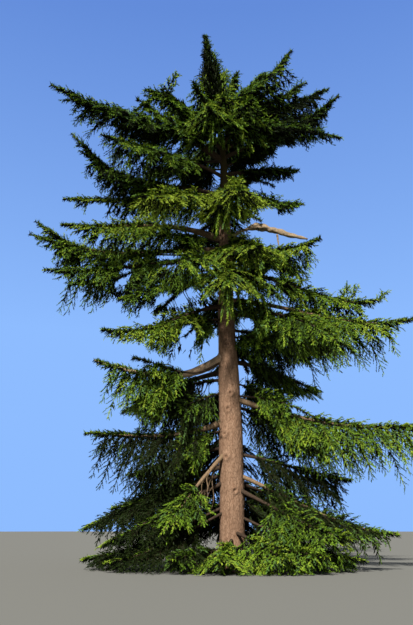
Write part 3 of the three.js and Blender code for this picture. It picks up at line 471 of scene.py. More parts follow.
# Openings where the sky shows through the crown, as the camera sees them: centre and half size, in pixels
OPENINGS = np.array([
    (207, 385, 12, 14), (305, 408, 15, 10), (303, 376, 10, 12), (188, 336, 9, 13), (125, 422, 16, 8),
    (199, 230, 11, 8), (172, 300, 18, 7), (190, 294, 12, 7), (243, 369, 8, 12), (170, 262, 11, 8),
    (270, 239, 9, 6), (128, 267, 5, 6), (125, 276, 6, 8), (120, 285, 6, 5), (246, 326, 8, 9),
    (210, 349, 8, 7), (146, 316, 7, 10), (272, 277, 8, 8), (293, 466, 7, 7), (250, 461, 7, 6),
    (175, 181, 7, 5), (279, 310, 10, 7), (284, 161, 17, 5), (290, 153, 8, 6), (282, 188, 24, 6),
    (264, 184, 9, 4), (262, 221, 12, 6), (290, 222, 30, 7), (97, 209, 12, 5), (66, 214, 14, 7),
    (180, 94, 7, 7), (107, 131, 9, 4), (125, 349, 24, 7), (115, 358, 14, 5), (283, 154, 9, 9),
    (296, 153, 10, 8), (256, 188, 8, 6), (268, 213, 10, 6), (113, 310, 9, 11), (146, 358, 16, 7),
])
PICTURE_WIDTH, PICTURE_HEIGHT = 413, 625


def on_picture(points):
    """Where points lie on the picture, in pixels"""
    pitch = radians(CAMERA_PITCH)
    focal = PICTURE_HEIGHT * CAMERA_LENS / CAMERA_SENSOR
    ahead, up = points[:, 1] + CAMERA_DISTANCE, points[:, 2] - EYE_HEIGHT
    depth = ahead * cos(pitch) + up * sin(pitch)
    rise = up * cos(pitch) - ahead * sin(pitch)
    return np.stack([PICTURE_WIDTH / 2 + focal * (points[:, 0] - CAMERA_X) / depth,
                     PICTURE_HEIGHT / 2 - focal * rise / depth], 1)


def in_opening(points):
    away = (on_picture(points)[:, None] - OPENINGS[None, :, :2]) / OPENINGS[None, :, 2:]
    return ((away ** 2).sum(-1) < 1).any(1)


# Side twigs of all fronds
TWIG_PITCH = 0.125
TWIG_FORKS = (28, 50)
SHORTEST_TWIG, LONGEST_TWIG = 0.18, 0.6
AXIS_PITCH = 0.3
FROND_STEPS = 3
FROND_HALF_WIDTH = 0.2
# The width of a frond at places along it
FROND_OUTLINE = ([0, 0.15, 0.4, 0.72, 1], [0.4, 0.8, 1.0, 0.8, 0.3])
SHORT_TWIG = 0.32
HIGH_SHADE = 0.8
LOW_SHADE = 0.65
DEEPEST_DROP = 1.2
FROND_TONE = 0.16
# Where a frond is cut if it would cross an opening, and where a twig is looked at
CUTS = (0.9, 0.5)
TWIG_LOOK = 0.6


def curve_points(foot, along, length, s):
    """Points on fronds that arch over and bend down, at shares s of their length"""
    length = np.asarray(length)
    return foot + along * (length * s)[..., None] - UP * (FROND_BEND * length * s * s)[..., None]


def shown_shares():
    """The share of each frond's length up to where the photo shows sky, or more than 1"""
    count = len(fronds.foot)
    shown = np.full(count, 2.0)
    for share in CUTS:
        points = curve_points(fronds.foot, fronds.along, fronds.length, np.full(count, share))
        shown[in_opening(points)] = share
    return shown


class Twigs:
    """Feet, directions and lengths of twigs, how far out each is in the light, and which are side twigs"""
    def __init__(self):
        parts = []
        for foot, along, across, length, shade, under in zip(
                fronds.foot, fronds.along, fronds.across, fronds.length, fronds.shade, fronds.under):
            n = max(4, round(length / TWIG_PITCH))
            s = (np.arange(n) + draw.uniform(0.1, 0.9, n)) / n * 0.95 + 0.03
            side = np.where((np.arange(n) + draw.integers(2)) % 2, 1.0, -1.0)
            half = np.interp(s, *FROND_OUTLINE) * FROND_HALF_WIDTH * length * draw.uniform(0.75, 1.2, n)
            fork = np.radians(draw.uniform(*TWIG_FORKS, n))
            over = unit(np.cross(across, along))
            way = (along * np.cos(fork)[:, None] + across * (side * np.sin(fork))[:, None]
                   + over * draw.uniform(-0.15, 0.3, n)[:, None]
                   - UP * (FROND_KEEL + draw.uniform(-0.1, 0.4, n))[:, None])
            feet = curve_points(foot, along, length, s)
            lengths = np.clip(half / np.sin(fork), SHORTEST_TWIG, LONGEST_TWIG)
            drop = np.clip(foot[2] - feet[:, 2], 0, DEEPEST_DROP)
            tone = draw.normal(0, FROND_TONE)
            outer = s + tone - shade - (LOW_SHADE + HIGH_SHADE * under) * drop
            parts.append((feet, unit(way), lengths, outer, np.ones(n, bool), s))
            # The frond's own axis, in short lengths that carry needles as twigs do
            m = max(2, round(length / AXIS_PITCH))
            s = np.linspace(0.1, 1, m + 1)
            ends = curve_points(foot, along, length, s)
            ways = ends[1:] - ends[:-1]
            lengths = np.linalg.norm(ways, axis=1)
            outer = s[1:] + tone - shade - HIGH_SHADE * under
            parts.append((ends[:-1], unit(ways), lengths, outer, np.zeros(m, bool), s[1:]))
        foot, way, length, outer, side, share = [np.concatenate(part) for part in zip(*parts)]
        keep_up(foot, TWIG_CLEAR)
        kept = share < np.repeat(np.repeat(shown_shares(), 2), [len(part[0]) for part in parts])
        kept &= ~in_opening(foot + way * (length * TWIG_LOOK)[:, None])
        self.foot, self.way, self.length, self.outer = foot[kept], way[kept], length[kept], outer[kept]
        self.side = np.flatnonzero(side[kept])


twigs = Twigs()

# Needles: tufts round each twig, leaning forward, shorter towards the twig's tip
TUFT_PITCH = 0.043
TUFT_LENGTH = 0.125
TUFT_HALF_WIDTH = 0.023
TUFT_SHORTENS = 0.35
TUFT_LEAN_FOOT, TUFT_LEAN_TIP = 38, 16
FULL_TUFT_TWIG = 0.3


def any_way_across(pick, way, half_width):
    """Half the width of flat tufts, square to their directions and turned at random"""
    return unit(np.cross(way, pick.normal(size=way.shape))) * half_width


def tufts(chosen, seed):
    """Triangles of the needles on the chosen twigs"""
    pick = np.random.default_rng(seed)
    foot, way, length = twigs.foot[chosen], twigs.way[chosen], twigs.length[chosen]
    side = unit(np.cross(way, NEARLY_UP))
    over = np.cross(side, way)
    count = np.maximum(6, np.round(length / TUFT_PITCH)).astype(int)
    of = np.repeat(np.arange(len(chosen)), count)
    k = np.arange(len(of)) - np.repeat(np.cumsum(count) - count, count)
    r = (k + pick.uniform(0, 1, len(of))) / count[of]
    turn = k * GOLDEN_TURN + pick.uniform(-0.5, 0.5, len(of))
    lean = np.radians(TUFT_LEAN_FOOT - (TUFT_LEAN_FOOT - TUFT_LEAN_TIP) * r + pick.uniform(-8, 8, len(of)))
    round_way = side[of] * np.cos(turn)[:, None] + over[of] * (0.8 * np.sin(turn) + 0.1)[:, None]
    tuft_way = unit(way[of] * np.cos(lean)[:, None] + round_way * np.sin(lean)[:, None])
    base = foot[of] + way[of] * (length[of] * r)[:, None]
    reach = TUFT_LENGTH * (1 - TUFT_SHORTENS * r) * pick.uniform(0.75, 1.2, len(of))
    reach *= np.clip(length[of] / FULL_TUFT_TWIG, 0.8, 1.15)
    wide = any_way_across(pick, tuft_way, TUFT_HALF_WIDTH)
    return np.stack([base - wide, base + wide, base + tuft_way * reach[:, None]], 1)


# Shaded sprays: larger tufts under each frond, where no sun reaches, in a near-black green that is painted
# shade
SHADE_PITCH = 0.11
SHADE_LENGTH = 0.34
SHADE_HALF_WIDTH = 0.05
SHADE_DROP = 0.06
SHADE_UNDER = 1.4


def shaded_tufts():
    pick = np.random.default_rng(SHADE_SEED)
    count = fronds.length / SHADE_PITCH * (1 + SHADE_UNDER * fronds.under)
    count = np.maximum(2, np.round(count)).astype(int)
    of = np.repeat(np.arange(len(count)), count)
    along, length = fronds.along[of], fronds.length[of]
    s = pick.uniform(0.05, 0.75, len(of))
    base = curve_points(fronds.foot[of], along, length, s) - UP * SHADE_DROP
    way = unit(along * pick.uniform(0.2, 0.9, len(of))[:, None]
               + fronds.across[of] * pick.uniform(-0.9, 0.9, len(of))[:, None]
               - UP * pick.uniform(0.2, 0.8, len(of))[:, None])
    reach = SHADE_LENGTH * pick.uniform(0.6, 1.1, len(of)) * np.clip(length, 0.5, 1.1) * (1.1 - 0.5 * s)
    wide = any_way_across(pick, way, SHADE_HALF_WIDTH)
    corners = np.stack([base - wide, base + wide, base + way * reach[:, None]], 1)
    return corners[~in_opening(corners[:, 2]) & ~in_opening(corners[:, 0])]


# Spurs: the short tufts that stand all along a bough and hide its wood
SPUR_AREA = 0.0033
SPUR_LENGTH = 0.2
SPUR_HALF_WIDTH = 0.028
SPUR_LEAST = 0.28
SPUR_PLACES = 120


def spurs():
    """Triangles of the spurs, and whether each stands on a bough's upper side"""
    pick = np.random.default_rng(SPUR_SEED)
    corners, upper = [], []
    t = np.linspace(0, 1, SPUR_PLACES)
    places = [(row, row.bare + (1 - row.bare) * t) for row in ROWS]
    stems = [(bough_line(row, place), bough_radius(row, place)) for row, place in places]
    spire = np.array([spire_point(v) for v in t])
    stems.append((spire, SPIRE_RADIUS - (SPIRE_RADIUS - SPIRE_TIP_RADIUS) * t))
    for line, radius in stems:
        ahead = unit(np.gradient(line, axis=0))
        n = int(length_of(line) * (2 * pi * radius.mean() + SPUR_LEAST) / SPUR_AREA)
        k = pick.integers(0, SPUR_PLACES, n)
        turn = pick.uniform(0, 2 * pi, n)
        side = unit(np.cross(ahead[k], NEARLY_UP))
        around = side * np.cos(turn)[:, None] + np.cross(side, ahead[k]) * np.sin(turn)[:, None]
        base = line[k] + around * (0.8 * radius[k])[:, None]
        forward, droop = pick.uniform(0.2, 1.3, n), pick.uniform(0, 0.4, n)
        way = unit(ahead[k] * forward[:, None] + around - UP * droop[:, None])
        wide = any_way_across(pick, way, SPUR_HALF_WIDTH)
        reach = SPUR_LENGTH * pick.uniform(0.6, 1.2, n)
        corners.append(np.stack([base - wide, base + wide, base + way * reach[:, None]], 1))
        upper.append(around[:, 2] > -0.1)
    return np.concatenate(corners), np.concatenate(upper)


# Meshes
def placed(name, data):
    """An object in the scene"""
    thing = bpy.data.objects.new(name, data)
    bpy.context.scene.collection.objects.link(thing)
    return thing


def mesh_piece(name, points, faces, material, smooth=False):
    """A piece from points and triangles"""
    mesh = bpy.data.meshes.new(name)
    mesh.vertices.add(len(points))
    mesh.vertices.foreach_set("co", np.asarray(points, np.float32).ravel())
    mesh.loops.add(faces.size)
    mesh.loops.foreach_set("vertex_index", faces.astype(np.int32).ravel())
    mesh.polygons.add(len(faces))
    mesh.polygons.foreach_set("loop_start", np.arange(len(faces), dtype=np.int32) * faces.shape[1])
    mesh.polygons.foreach_set("use_smooth", np.full(len(faces), smooth))
    mesh.update(calc_edges=True)
    mesh.validate()
    mesh.materials.append(material)
    piece = placed(name, mesh)
    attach(piece, "root")
    return piece


def rings(ahead, whole, sides):
    """Directions all round each of some directions, steady along a curve that heads one way"""
    helper = np.where(np.abs(whole[:, 2:]) > 0.8, SIDEWAYS, UP)
    if ahead.ndim > 2:
        helper = np.broadcast_to(helper[:, None, :], ahead.shape)
    side = unit(np.cross(ahead, helper))
    other = np.cross(ahead, side)
    turn = turns_round(sides)
    return np.cos(turn)[:, None] * side[..., None, :] + np.sin(turn)[:, None] * other[..., None, :]


def tube_faces(count, steps, sides):
    """Triangles of closed tubes, each of them a stack of rings"""
    base = (np.arange(count)[:, None, None] * steps + np.arange(steps - 1)[None, :, None]) * sides
    a = base + np.arange(sides)
    b = base + (np.arange(sides) + 1) % sides
    quads = np.stack([a, b, b + sides, a + sides], -1).reshape(-1, 4)
    faces = [quads[:, [0, 1, 2]], quads[:, [0, 2, 3]]]
    for start in (0, (steps - 1) * sides):
        first = np.arange(count) * steps * sides + start
        for m in range(1, sides - 1):
            order = (0, m + 1, m) if start == 0 else (0, m, m + 1)
            faces.append(np.stack([first + o for o in order], -1))
    return np.concatenate(faces)


def tubes(paths, radii, sides):
    """Points and triangles of tubes along many curves of equal point counts: (n, k, 3) and (n, k)"""
    ring = rings(unit(np.gradient(paths, axis=1)), unit(paths[:, -1] - paths[:, 0]), sides)
    points = paths[:, :, None, :] + radii[:, :, None, None] * ring
    return points.reshape(-1, 3), tube_faces(*radii.shape, sides)


def spikes(feet, tips, radius, sides):
    """Points and triangles of many slim pyramids"""
    ahead = unit(tips - feet)
    ring = feet[:, None] + radius[:, None, None] * rings(ahead, ahead, sides)
    points = np.concatenate([ring, tips[:, None]], 1)
    base = np.arange(len(feet))[:, None] * (sides + 1)
    faces = [np.concatenate([base + k, base + (k + 1) % sides, base + sides], 1) for k in range(sides)]
    return points.reshape(-1, 3), np.concatenate(faces)


def joined(first, second):
    return np.concatenate([first[0], second[0]]), np.concatenate([first[1], second[1] + len(first[0])])


# Materials
SPECULAR = 0.12
ROUGH = 0.9
NEEDLE_ROUGHNESS = 0.55
# The trunk's bark darkens above a height: partly moss, partly painted shade from the crown
MOSS_AND_SHADE_FROM = 16.0
MOSS_AND_SHADE_FADE = 1.4
MOSS_AND_SHADE_BARK = 0x453d26
BARK_SCALE = (14, 14, 4)
CRACK_WIDTH = 0.12
CRACK_DEPTH = 0.02
CRACK_SHARE = 0.55


def linear(value):
    """Linear colour of a hex number"""
    parts = [(value >> shift & 255) / 255 for shift in (16, 8, 0)]
    return tuple(c / 12.92 if c <= 0.04045 else ((c + 0.055) / 1.055) ** 2.4 for c in parts)


def plain_material(name, colour, roughness):
    material = bpy.data.materials.new(name)
    material.use_nodes = True
    shader = material.node_tree.nodes["Principled BSDF"]
    shader.inputs["Base Color"].default_value = (*linear(colour), 1)
    shader.inputs["Roughness"].default_value = roughness
    shader.inputs["Specular IOR Level"].default_value = SPECULAR
    return material


def new_node(nodes, kind, **values):
    """A shader node with values on its inputs"""
    node = nodes.new("ShaderNode" + kind)
    for name, value in values.items():
        node.inputs[name].default_value = value
    return node


def link(source, output, target, into):
    source.id_data.links.new(source.outputs[output], target.inputs[into])


def colour_ramp(nodes, *stops):
    """A ramp between two colours, each with its place"""
    ramp = new_node(nodes, "ValToRGB")
    for element, (place, colour) in zip(ramp.color_ramp.elements, stops):
        element.position = place
        element.color = (*linear(colour), 1)
    return ramp


def moss_and_shade_above(nodes, where, height, bark_colour):
    """The bark's colour, darker above a height: moss, and painted shade from the crown"""
    high = new_node(nodes, "SeparateXYZ")
    link(where, "Object", high, "Vector")
    share = new_node(nodes, "MapRange")
    share.inputs["From Min"].default_value = height
    share.inputs["From Max"].default_value = height + MOSS_AND_SHADE_FADE
    link(high, "Z", share, "Value")
    moss_and_shade = new_node(nodes, "Mix")
    moss_and_shade.data_type = "RGBA"
    moss_and_shade.inputs["B"].default_value = (*linear(MOSS_AND_SHADE_BARK), 1)
    link(share, "Result", moss_and_shade, "Factor")
    link(bark_colour, "Result", moss_and_shade, "A")
    return moss_and_shade


def bark_material(name, dark, middle, light, scale=1.0, moss_and_shade_from=None):
    """Bark: long plates between fissures, with lighter and darker patches, darker above a height with moss
    and painted shade
    """
    material = plain_material(name, middle, ROUGH)
    nodes = material.node_tree.nodes
    shader = nodes["Principled BSDF"]
    where = new_node(nodes, "TexCoord")
    stretch = new_node(nodes, "Mapping", Scale=[v * scale for v in BARK_SCALE])
    link(where, "Object", stretch, "Vector")
    plates = new_node(nodes, "TexVoronoi", Scale=1.3)
    plates.feature = "DISTANCE_TO_EDGE"
    link(stretch, "Vector", plates, "Vector")
    patches = new_node(nodes, "TexNoise", Scale=0.8, Detail=8)
    link(stretch, "Vector", patches, "Vector")
    ramp = colour_ramp(nodes, (0.3, middle), (0.7, light))
    link(patches, "Fac", ramp, "Fac")
    cracks = colour_ramp(nodes, (0.0, dark), (CRACK_WIDTH, 0xffffff))
    link(plates, "Distance", cracks, "Fac")
    colour = new_node(nodes, "Mix")
    colour.data_type = "RGBA"
    colour.blend_type = "MULTIPLY"
    colour.inputs["Factor"].default_value = CRACK_SHARE
    link(ramp, "Color", colour, "A")
    link(cracks, "Color", colour, "B")
    if moss_and_shade_from:
        colour = moss_and_shade_above(nodes, where, moss_and_shade_from, colour)
    link(colour, "Result", shader, "Base Color")
    bump = new_node(nodes, "Bump", Strength=0.6, Distance=CRACK_DEPTH)
    link(plates, "Distance", bump, "Height")
    link(bump, "Normal", shader, "Normal")
    return material


bark = bark_material("bark", 0x5c463a, 0x80634f, 0x9b7e68, moss_and_shade_from=MOSS_AND_SHADE_FROM)
limb_bark = bark_material("limb_bark", 0x4a3c30, 0x75604c, 0x9a8266, 2.0)
# A lighter copy of the limbs' bark, for the thick limb: painted sunlight
painted_sunlit_bark = bark_material("painted_sunlit_bark", 0x6b5848, 0xa08770, 0xc4ab90, 2.0)
# A darker copy of the limbs' bark, for the boughs that the foliage covers: painted shade
painted_shade_bark = bark_material("painted_shade_bark", 0x1c1610, 0x3a2f25, 0x54453a, 2.0)
twig_bark = plain_material("twig_bark", 0x2c2519, ROUGH)
bleached = bark_material("bleached_wood", 0x4a3e32, 0x8a7761, 0xae9a7f, 1.5)
# A near-black green for the shaded sprays and the spurs under the boughs: painted shade
SHADED_GREEN = 0x0c1306
# The greens of the needles, with the share of the sprays that each takes. They go by how far each spray is
# out in the light, so the deeper greens are partly painted shade and the lighter ones partly painted light
GREENS = [
    ("needles_deep", 0x1d2a0c, 0.32),
    ("needles_middle", 0x496419, 0.23),
    ("needles_light", 0x6a8925, 0.23),
    ("needles_yellow", 0x899e30, 0.12),
    ("needles_blue", 0x55763c, 0.10),
]

# Scars of lost limbs on the trunk: height and heading
KNOTS = np.array([
    (7.3, 275), (6.6, 257), (4.5, 243), (5.5, 236), (9.6, 268), (3.1, 282), (8.2, 80), (5.0, 120),
])
KNOT_RADIUS = 0.13
KNOT_HEIGHT = 0.07

# Trunk with the relief of its bark
TRUNK_SIDES = 96
TRUNK_STEP = 0.07
PLATES_ACROSS = 16
PLATES_ALONG = 3.5
PLATE_EDGE = 0.25
PLATE_DEPTH = 0.02
SWELL = 0.03
SWELLS_ROUND, SWELLS_ALONG = 1.3, 0.5
FULL_RELIEF_RADIUS = 0.5
TRUNK_OVERLAP = 0.3


def knot_relief(height, turn, radius):
    """How far the bark stands out at a place: a ring round each scar, and a hollow inside it"""
    aside = (turn - np.radians(KNOTS[:, 1]) + pi) % (2 * pi) - pi
    away = np.hypot(height - KNOTS[:, 0], aside * radius) / KNOT_RADIUS
    rim, hollow = np.exp(-((away - 0.9) / 0.4) ** 2), np.exp(-(away / 0.5) ** 2)
    return float((KNOT_HEIGHT * rim - KNOT_HEIGHT * hollow).sum())


def bark_radius(z, a, radius):
    """How far from the trunk's axis the bark is at a height and a turn"""
    fade = exp(-z / FLARE_HEIGHT)
    r = radius + fade * (FLARE_RADIUS + FLARE_RIDGE_DEPTH * cos(FLARE_RIDGES * a + 0.6))
    across = radius * PLATES_ACROSS
    near = noise.voronoi(Vector((cos(a) * across, sin(a) * across, z * PLATES_ALONG)))[0]
    plate = min((near[1] - near[0]) / PLATE_EDGE, 1)
    swell = noise.noise(Vector((cos(a) * SWELLS_ROUND, sin(a) * SWELLS_ROUND, z * SWELLS_ALONG)))
    relief = (plate - 1) * PLATE_DEPTH * min(radius / FULL_RELIEF_RADIUS, 1)
    r += relief + swell * SWELL * radius / FULL_RELIEF_RADIUS
    return r + knot_relief(z, a, radius)


def trunk_piece():
    heights = np.concatenate([np.arange(0, TRUNK_TOP, TRUNK_STEP), [TRUNK_TOP + TRUNK_OVERLAP]])
    points = []
    for z in heights:
        radius = float(trunk_at(min(z, TRUNK_TOP), RADIUS))
        x0 = -float(trunk_at(min(z, TRUNK_TOP), LEAN))
        for a in turns_round(TRUNK_SIDES):
            r = bark_radius(z, a, radius)
            points.append((x0 + r * cos(a), r * sin(a), z))
    return mesh_piece("trunk_bark", points, tube_faces(1, len(heights), TRUNK_SIDES), bark, True)


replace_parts(trunk_piece(), "trunk")


# Boughs
BOUGH_STEPS = 30
BOUGH_SIDES = 8
WOBBLE, WOBBLES_PER_METRE = 0.2, 1.5
SPIRE_RINGS = 12
THICK_LIMB = "left_thick_lower"
THICK_LIMB_END = 0.35
LIMBS = [n[:-len("_bough")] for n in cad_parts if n.endswith("_bough")]
THINNER_LIMBS = [name for name in LIMBS if name != THICK_LIMB]
FOLIAGE = [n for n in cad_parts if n.endswith("_foliage")]


def bough_tubes(rows):
    t = np.linspace(0, 1, BOUGH_STEPS)
    paths, radii = [], []
    for row in rows:
        path = bough_line(row, t)
        radius = bough_radius(row, t)
        if row.name == THICK_LIMB:
            radius = radius * (1 + THICK_LIMB_END * t)
        wobble = np.array([noise.noise(Vector(p) * WOBBLES_PER_METRE) for p in path])
        paths.append(path)
        radii.append(radius * (1 + WOBBLE * wobble))
    return tubes(np.array(paths), np.array(radii), BOUGH_SIDES)


def limb_piece(name, limbs, material):
    return mesh_piece(name, *bough_tubes([row for row in ROWS if row.name in limbs]), material, True)


def boughs_piece():
    """The boughs that the foliage covers, and the spire's stem"""
    covered = bough_tubes([row for row in ROWS if row.name not in LIMBS])
    spire = np.array([[spire_point(t) for t in np.linspace(0, 1, SPIRE_RINGS)]])
    radii = np.linspace(SPIRE_RADIUS, SPIRE_TIP_RADIUS, SPIRE_RINGS)[None]
    return mesh_piece("boughs", *joined(covered, tubes(spire, radii, BOUGH_SIDES)), painted_shade_bark, True)


thinner = limb_piece("limbs", THINNER_LIMBS, limb_bark)
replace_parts(thinner, *[name + "_bough" for name in THINNER_LIMBS])
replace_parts(limb_piece("thick_limb", [THICK_LIMB], painted_sunlit_bark), THICK_LIMB + "_bough")
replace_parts(boughs_piece(), *FOLIAGE)


# Broken limb: how far out from the trunk's axis, height and radius
BROKEN_LIMB = np.array([
    (0, 15.05, 0.13),
    (0.45, 15.36, 0.1),
    (0.85, 15.56, 0.085),
    (1.2, 15.66, 0.09),
    (1.45, 15.72, 0.16),
    (1.65, 15.72, 0.19),
    (2.1, 15.58, 0.145),
    (2.63, 15.37, 0.15),
    (3.3, 15.09, 0.105),
    (4.05, 14.84, 0.05),
])
BROKEN_HEADING = 350
BROKEN_STEPS = 60
BROKEN_SIDES = 24
STUB_OUT = 2.58
STUB_TOP = 15.2
STUB_LENGTH = 0.62
STUB_LEAN = 0.06
STUB_RADII = (0.06, 0.02)
GRAIN_RELIEF, GRAIN_SCALE = 0.35, (3, 11, 11)
KNOB_RELIEF, KNOB_SCALE = 0.45, 3.2


def broken_limb():
    way = turned(SIDEWAYS, radians(BROKEN_HEADING))
    out, height, radius = BROKEN_LIMB.T
    start = np.array([-float(trunk_at(height[0], LEAN)), 0, 0])
    s = np.linspace(0, len(out) - 1, BROKEN_STEPS)
    grid = np.arange(len(out))
    path = start + way * np.interp(s, grid, out)[:, None] + UP * np.interp(s, grid, height)[:, None]
    stub = (start + way * STUB_OUT + UP * STUB_TOP - UP * np.linspace(0, STUB_LENGTH, BROKEN_STEPS)[:, None]
            + way * np.linspace(0, STUB_LEAN, BROKEN_STEPS)[:, None])
    radii = np.array([np.interp(s, grid, radius), np.linspace(*STUB_RADII, BROKEN_STEPS)])
    points, faces = tubes(np.array([path, stub]), radii, BROKEN_SIDES)
    grain = np.array([noise.noise(Vector(p * GRAIN_SCALE)) for p in points])
    knobs = np.array([noise.noise(Vector(p) * KNOB_SCALE) for p in points])
    middle = np.repeat(np.concatenate([path, stub]), BROKEN_SIDES, axis=0)
    thick = np.repeat(radii.ravel(), BROKEN_SIDES)
    points = points + unit(points - middle) * (thick * (GRAIN_RELIEF * grain + KNOB_RELIEF * knobs))[:, None]
    return mesh_piece("dead_limb", points, faces, bleached, True)


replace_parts(broken_limb(), "broken_limb")


# Dead twigs that hang below the low boughs on the left
DEAD_TWIGS_ON = ["left_lowest", "low_left", "ground_left", "left_ground"]
DEAD_TWIGS_EACH = 4
DEAD_STEPS = 14
DEAD_FORKS = (4, 7, 10)
DEAD_WAVE = 0.09
DEAD_SIDES = 5
DEAD_RADIUS, DEAD_TAPER = 0.03, 0.021
DEAD_FORK_RADIUS, DEAD_FORK_TAPER = 0.013, 0.008


def dead_twigs():
    pick = np.random.default_rng(DEAD_SEED)
    s = np.linspace(0, 1, DEAD_STEPS)
    paths, radii = [], []
    for name in DEAD_TWIGS_ON * DEAD_TWIGS_EACH:
        row = next(r for r in ROWS if r.name == name)
        foot = bough_line(row, pick.uniform(0.14, 0.42))
        way = turned(SIDEWAYS, radians(row.heading + pick.uniform(-60, 60)))
        fall = min(pick.uniform(0.7, 2.0), foot[2] - 0.3)
        wave = DEAD_WAVE * np.sin(s * pick.uniform(5, 9) + pick.uniform(0, 6))[:, None]
        path = foot + way * (pick.uniform(0.2, 0.9) * s ** 0.6)[:, None] - UP * (fall * s)[:, None]
        path = path + turned(way, pi / 2) * wave + way * wave
        paths.append(path)
        radii.append(DEAD_RADIUS - DEAD_TAPER * s)
        for start in DEAD_FORKS:
            side = turned(way, pick.uniform(-1.6, 1.6)) - UP * pick.uniform(0.0, 0.9)
            length = pick.uniform(0.25, 0.6)
            paths.append(path[start] + side * (length * s)[:, None] - UP * (0.2 * s * s)[:, None])
            radii.append(DEAD_FORK_RADIUS - DEAD_FORK_TAPER * s)
    paths = np.array(paths)
    keep_up(paths, TWIG_CLEAR)
    return tubes(paths, np.array(radii), DEAD_SIDES)


# Twigs
TWIG_SIDES = 3
TWIG_RADIUS, TWIG_THICKENS, TWIG_TAPER = 0.01, 0.008, 0.85
SMALL_TWIG_RADIUS = 0.006


def frond_twigs():
    s = np.linspace(0, 1, FROND_STEPS)
    shown = shown_shares() > 1
    foot, along, length = fronds.foot[shown], fronds.along[shown], fronds.length[shown]
    paths = np.stack([curve_points(foot, along, length, np.full(len(foot), v)) for v in s], 1)
    keep_up(paths, TWIG_CLEAR)
    radii = (TWIG_RADIUS + TWIG_THICKENS * length)[:, None] * (1 - TWIG_TAPER * s)[None]
    return tubes(paths, radii, TWIG_SIDES)


def side_twigs():
    longer = twigs.side[twigs.length[twigs.side] > SHORT_TWIG]
    foot, length = twigs.foot[longer], twigs.length[longer]
    tips = foot + twigs.way[longer] * length[:, None]
    keep_up(tips)
    return spikes(foot, tips, SMALL_TWIG_RADIUS + SMALL_TWIG_RADIUS * length, TWIG_SIDES)


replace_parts(mesh_piece("dead_twigs", *dead_twigs(), limb_bark, True), *FOLIAGE)
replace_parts(mesh_piece("twigs", *frond_twigs(), twig_bark), *FOLIAGE)
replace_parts(mesh_piece("small_twigs", *side_twigs(), twig_bark), *FOLIAGE)


# Needles, in plain greens dealt out by spray
SPRAY_TONE = 0.17
BLUE_FROM = 0.3
BELOW_ONE = 0.9999
MOST_TRIANGLES = 190000
# How many of the greens, from the deepest, the spurs take
SPUR_GREENS = 3


def deal_greens():
    """The green of each spray: deeper near the stem and in the shade, lighter and yellower at the tips"""
    lit = twigs.outer + draw.normal(0, SPRAY_TONE, len(twigs.outer))
    order = np.argsort(np.argsort(lit)) / len(lit)
    *shares, blue_share = [share for _, _, share in GREENS]
    blue = (draw.uniform(size=len(lit)) < blue_share / (1 - BLUE_FROM)) & (order > BLUE_FROM)
    kind = np.searchsorted(np.cumsum(shares) / (1 - blue_share), order * BELOW_ONE)
    kind[blue] = len(shares)
    return kind


def needle_piece(name, corners, material):
    points = corners.reshape(-1, 3)
    keep_up(points)
    piece = mesh_piece(name, points, np.arange(len(points)).reshape(-1, 3), material)
    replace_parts(piece, *FOLIAGE)


def needle_pieces():
    greens = deal_greens()
    on_boughs, upper = spurs()
    # The shaded sprays and the spurs on the boughs' undersides are near-black: painted shade
    needle_piece("needles_shaded", np.concatenate([shaded_tufts(), on_boughs[~upper]]),
                 plain_material("needles_shaded", SHADED_GREEN, ROUGH))
    for k, (name, colour, _) in enumerate(GREENS):
        corners = tufts(np.flatnonzero(greens == k), TUFT_SEED + k)
        if k < SPUR_GREENS:
            corners = np.concatenate([corners, on_boughs[upper][k::SPUR_GREENS]])
        parts = ceil(len(corners) / MOST_TRIANGLES)
        material = plain_material(name, colour, NEEDLE_ROUGHNESS)
        for n, part in enumerate(np.array_split(corners, parts)):
            needle_piece(name + ("" if parts == 1 else f"_{n + 1}"), part, material)


needle_pieces()


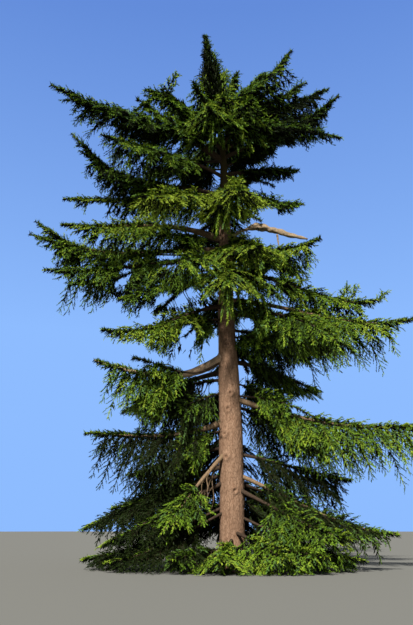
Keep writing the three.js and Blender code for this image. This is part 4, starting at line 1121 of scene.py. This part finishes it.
# Floor, light, camera
FLOOR_RADIUS = 300
FLOOR_SIDES = 64
FLOOR_COLOUR = 0x7a7a76
SUN_STRENGTH = 6.5
SUN_SIZE = 4
SUN_TILT = 50
SUN_TURN = -15
SUN_COLOUR = (1.0, 0.96, 0.88)
FILL_COLOUR = (0.70, 0.82, 1.0, 1)
FILL_STRENGTH = 0.24
# The sky's colours and how high they are, for the camera only
SKY_LOW = (0.3, 0x8ebcff)
SKY_HIGH = (0.72, 0x638cda)


def floor():
    mesh = bpy.data.meshes.new("floor")
    edge = [(FLOOR_RADIUS * cos(a), FLOOR_RADIUS * sin(a), 0) for a in turns_round(FLOOR_SIDES)]
    mesh.from_pydata(edge, [], [range(len(edge))])
    mesh.materials.append(plain_material("floor", FLOOR_COLOUR, ROUGH))
    placed("floor", mesh)


def sun():
    light = bpy.data.lights.new("sun", "SUN")
    light.energy = SUN_STRENGTH
    light.angle = radians(SUN_SIZE)
    light.color = SUN_COLOUR
    placed("sun", light).rotation_euler = (radians(SUN_TILT), 0, radians(SUN_TURN))


def sky():
    """A soft fill from all round, and a blue sky that only the camera sees"""
    world = bpy.data.worlds.new("world")
    world.use_nodes = True
    nodes = world.node_tree.nodes
    fill = nodes["Background"]
    fill.inputs["Color"].default_value = FILL_COLOUR
    fill.inputs["Strength"].default_value = FILL_STRENGTH
    seen = new_node(nodes, "Background")
    where = new_node(nodes, "TexCoord")
    axes = new_node(nodes, "SeparateXYZ")
    link(where, "Generated", axes, "Vector")
    colours = colour_ramp(nodes, SKY_LOW, SKY_HIGH)
    link(axes, "Z", colours, "Fac")
    link(colours, "Color", seen, "Color")
    ray = new_node(nodes, "LightPath")
    both = new_node(nodes, "MixShader")
    link(ray, "Is Camera Ray", both, "Fac")
    link(fill, "Background", both, 1)
    link(seen, "Background", both, 2)
    link(both, "Shader", nodes["World Output"], "Surface")
    bpy.context.scene.world = world


def camera():
    data = bpy.data.cameras.new("camera")
    data.lens = CAMERA_LENS
    data.sensor_width = CAMERA_SENSOR
    data.clip_end = 1000
    view = placed("camera", data)
    view.location = (CAMERA_X, -CAMERA_DISTANCE, EYE_HEIGHT)
    view.rotation_euler = (radians(90 + CAMERA_PITCH), 0, 0)
    bpy.context.scene.camera = view


floor()
sun()
sky()
camera()
bpy.context.scene.view_settings.view_transform = "Standard"
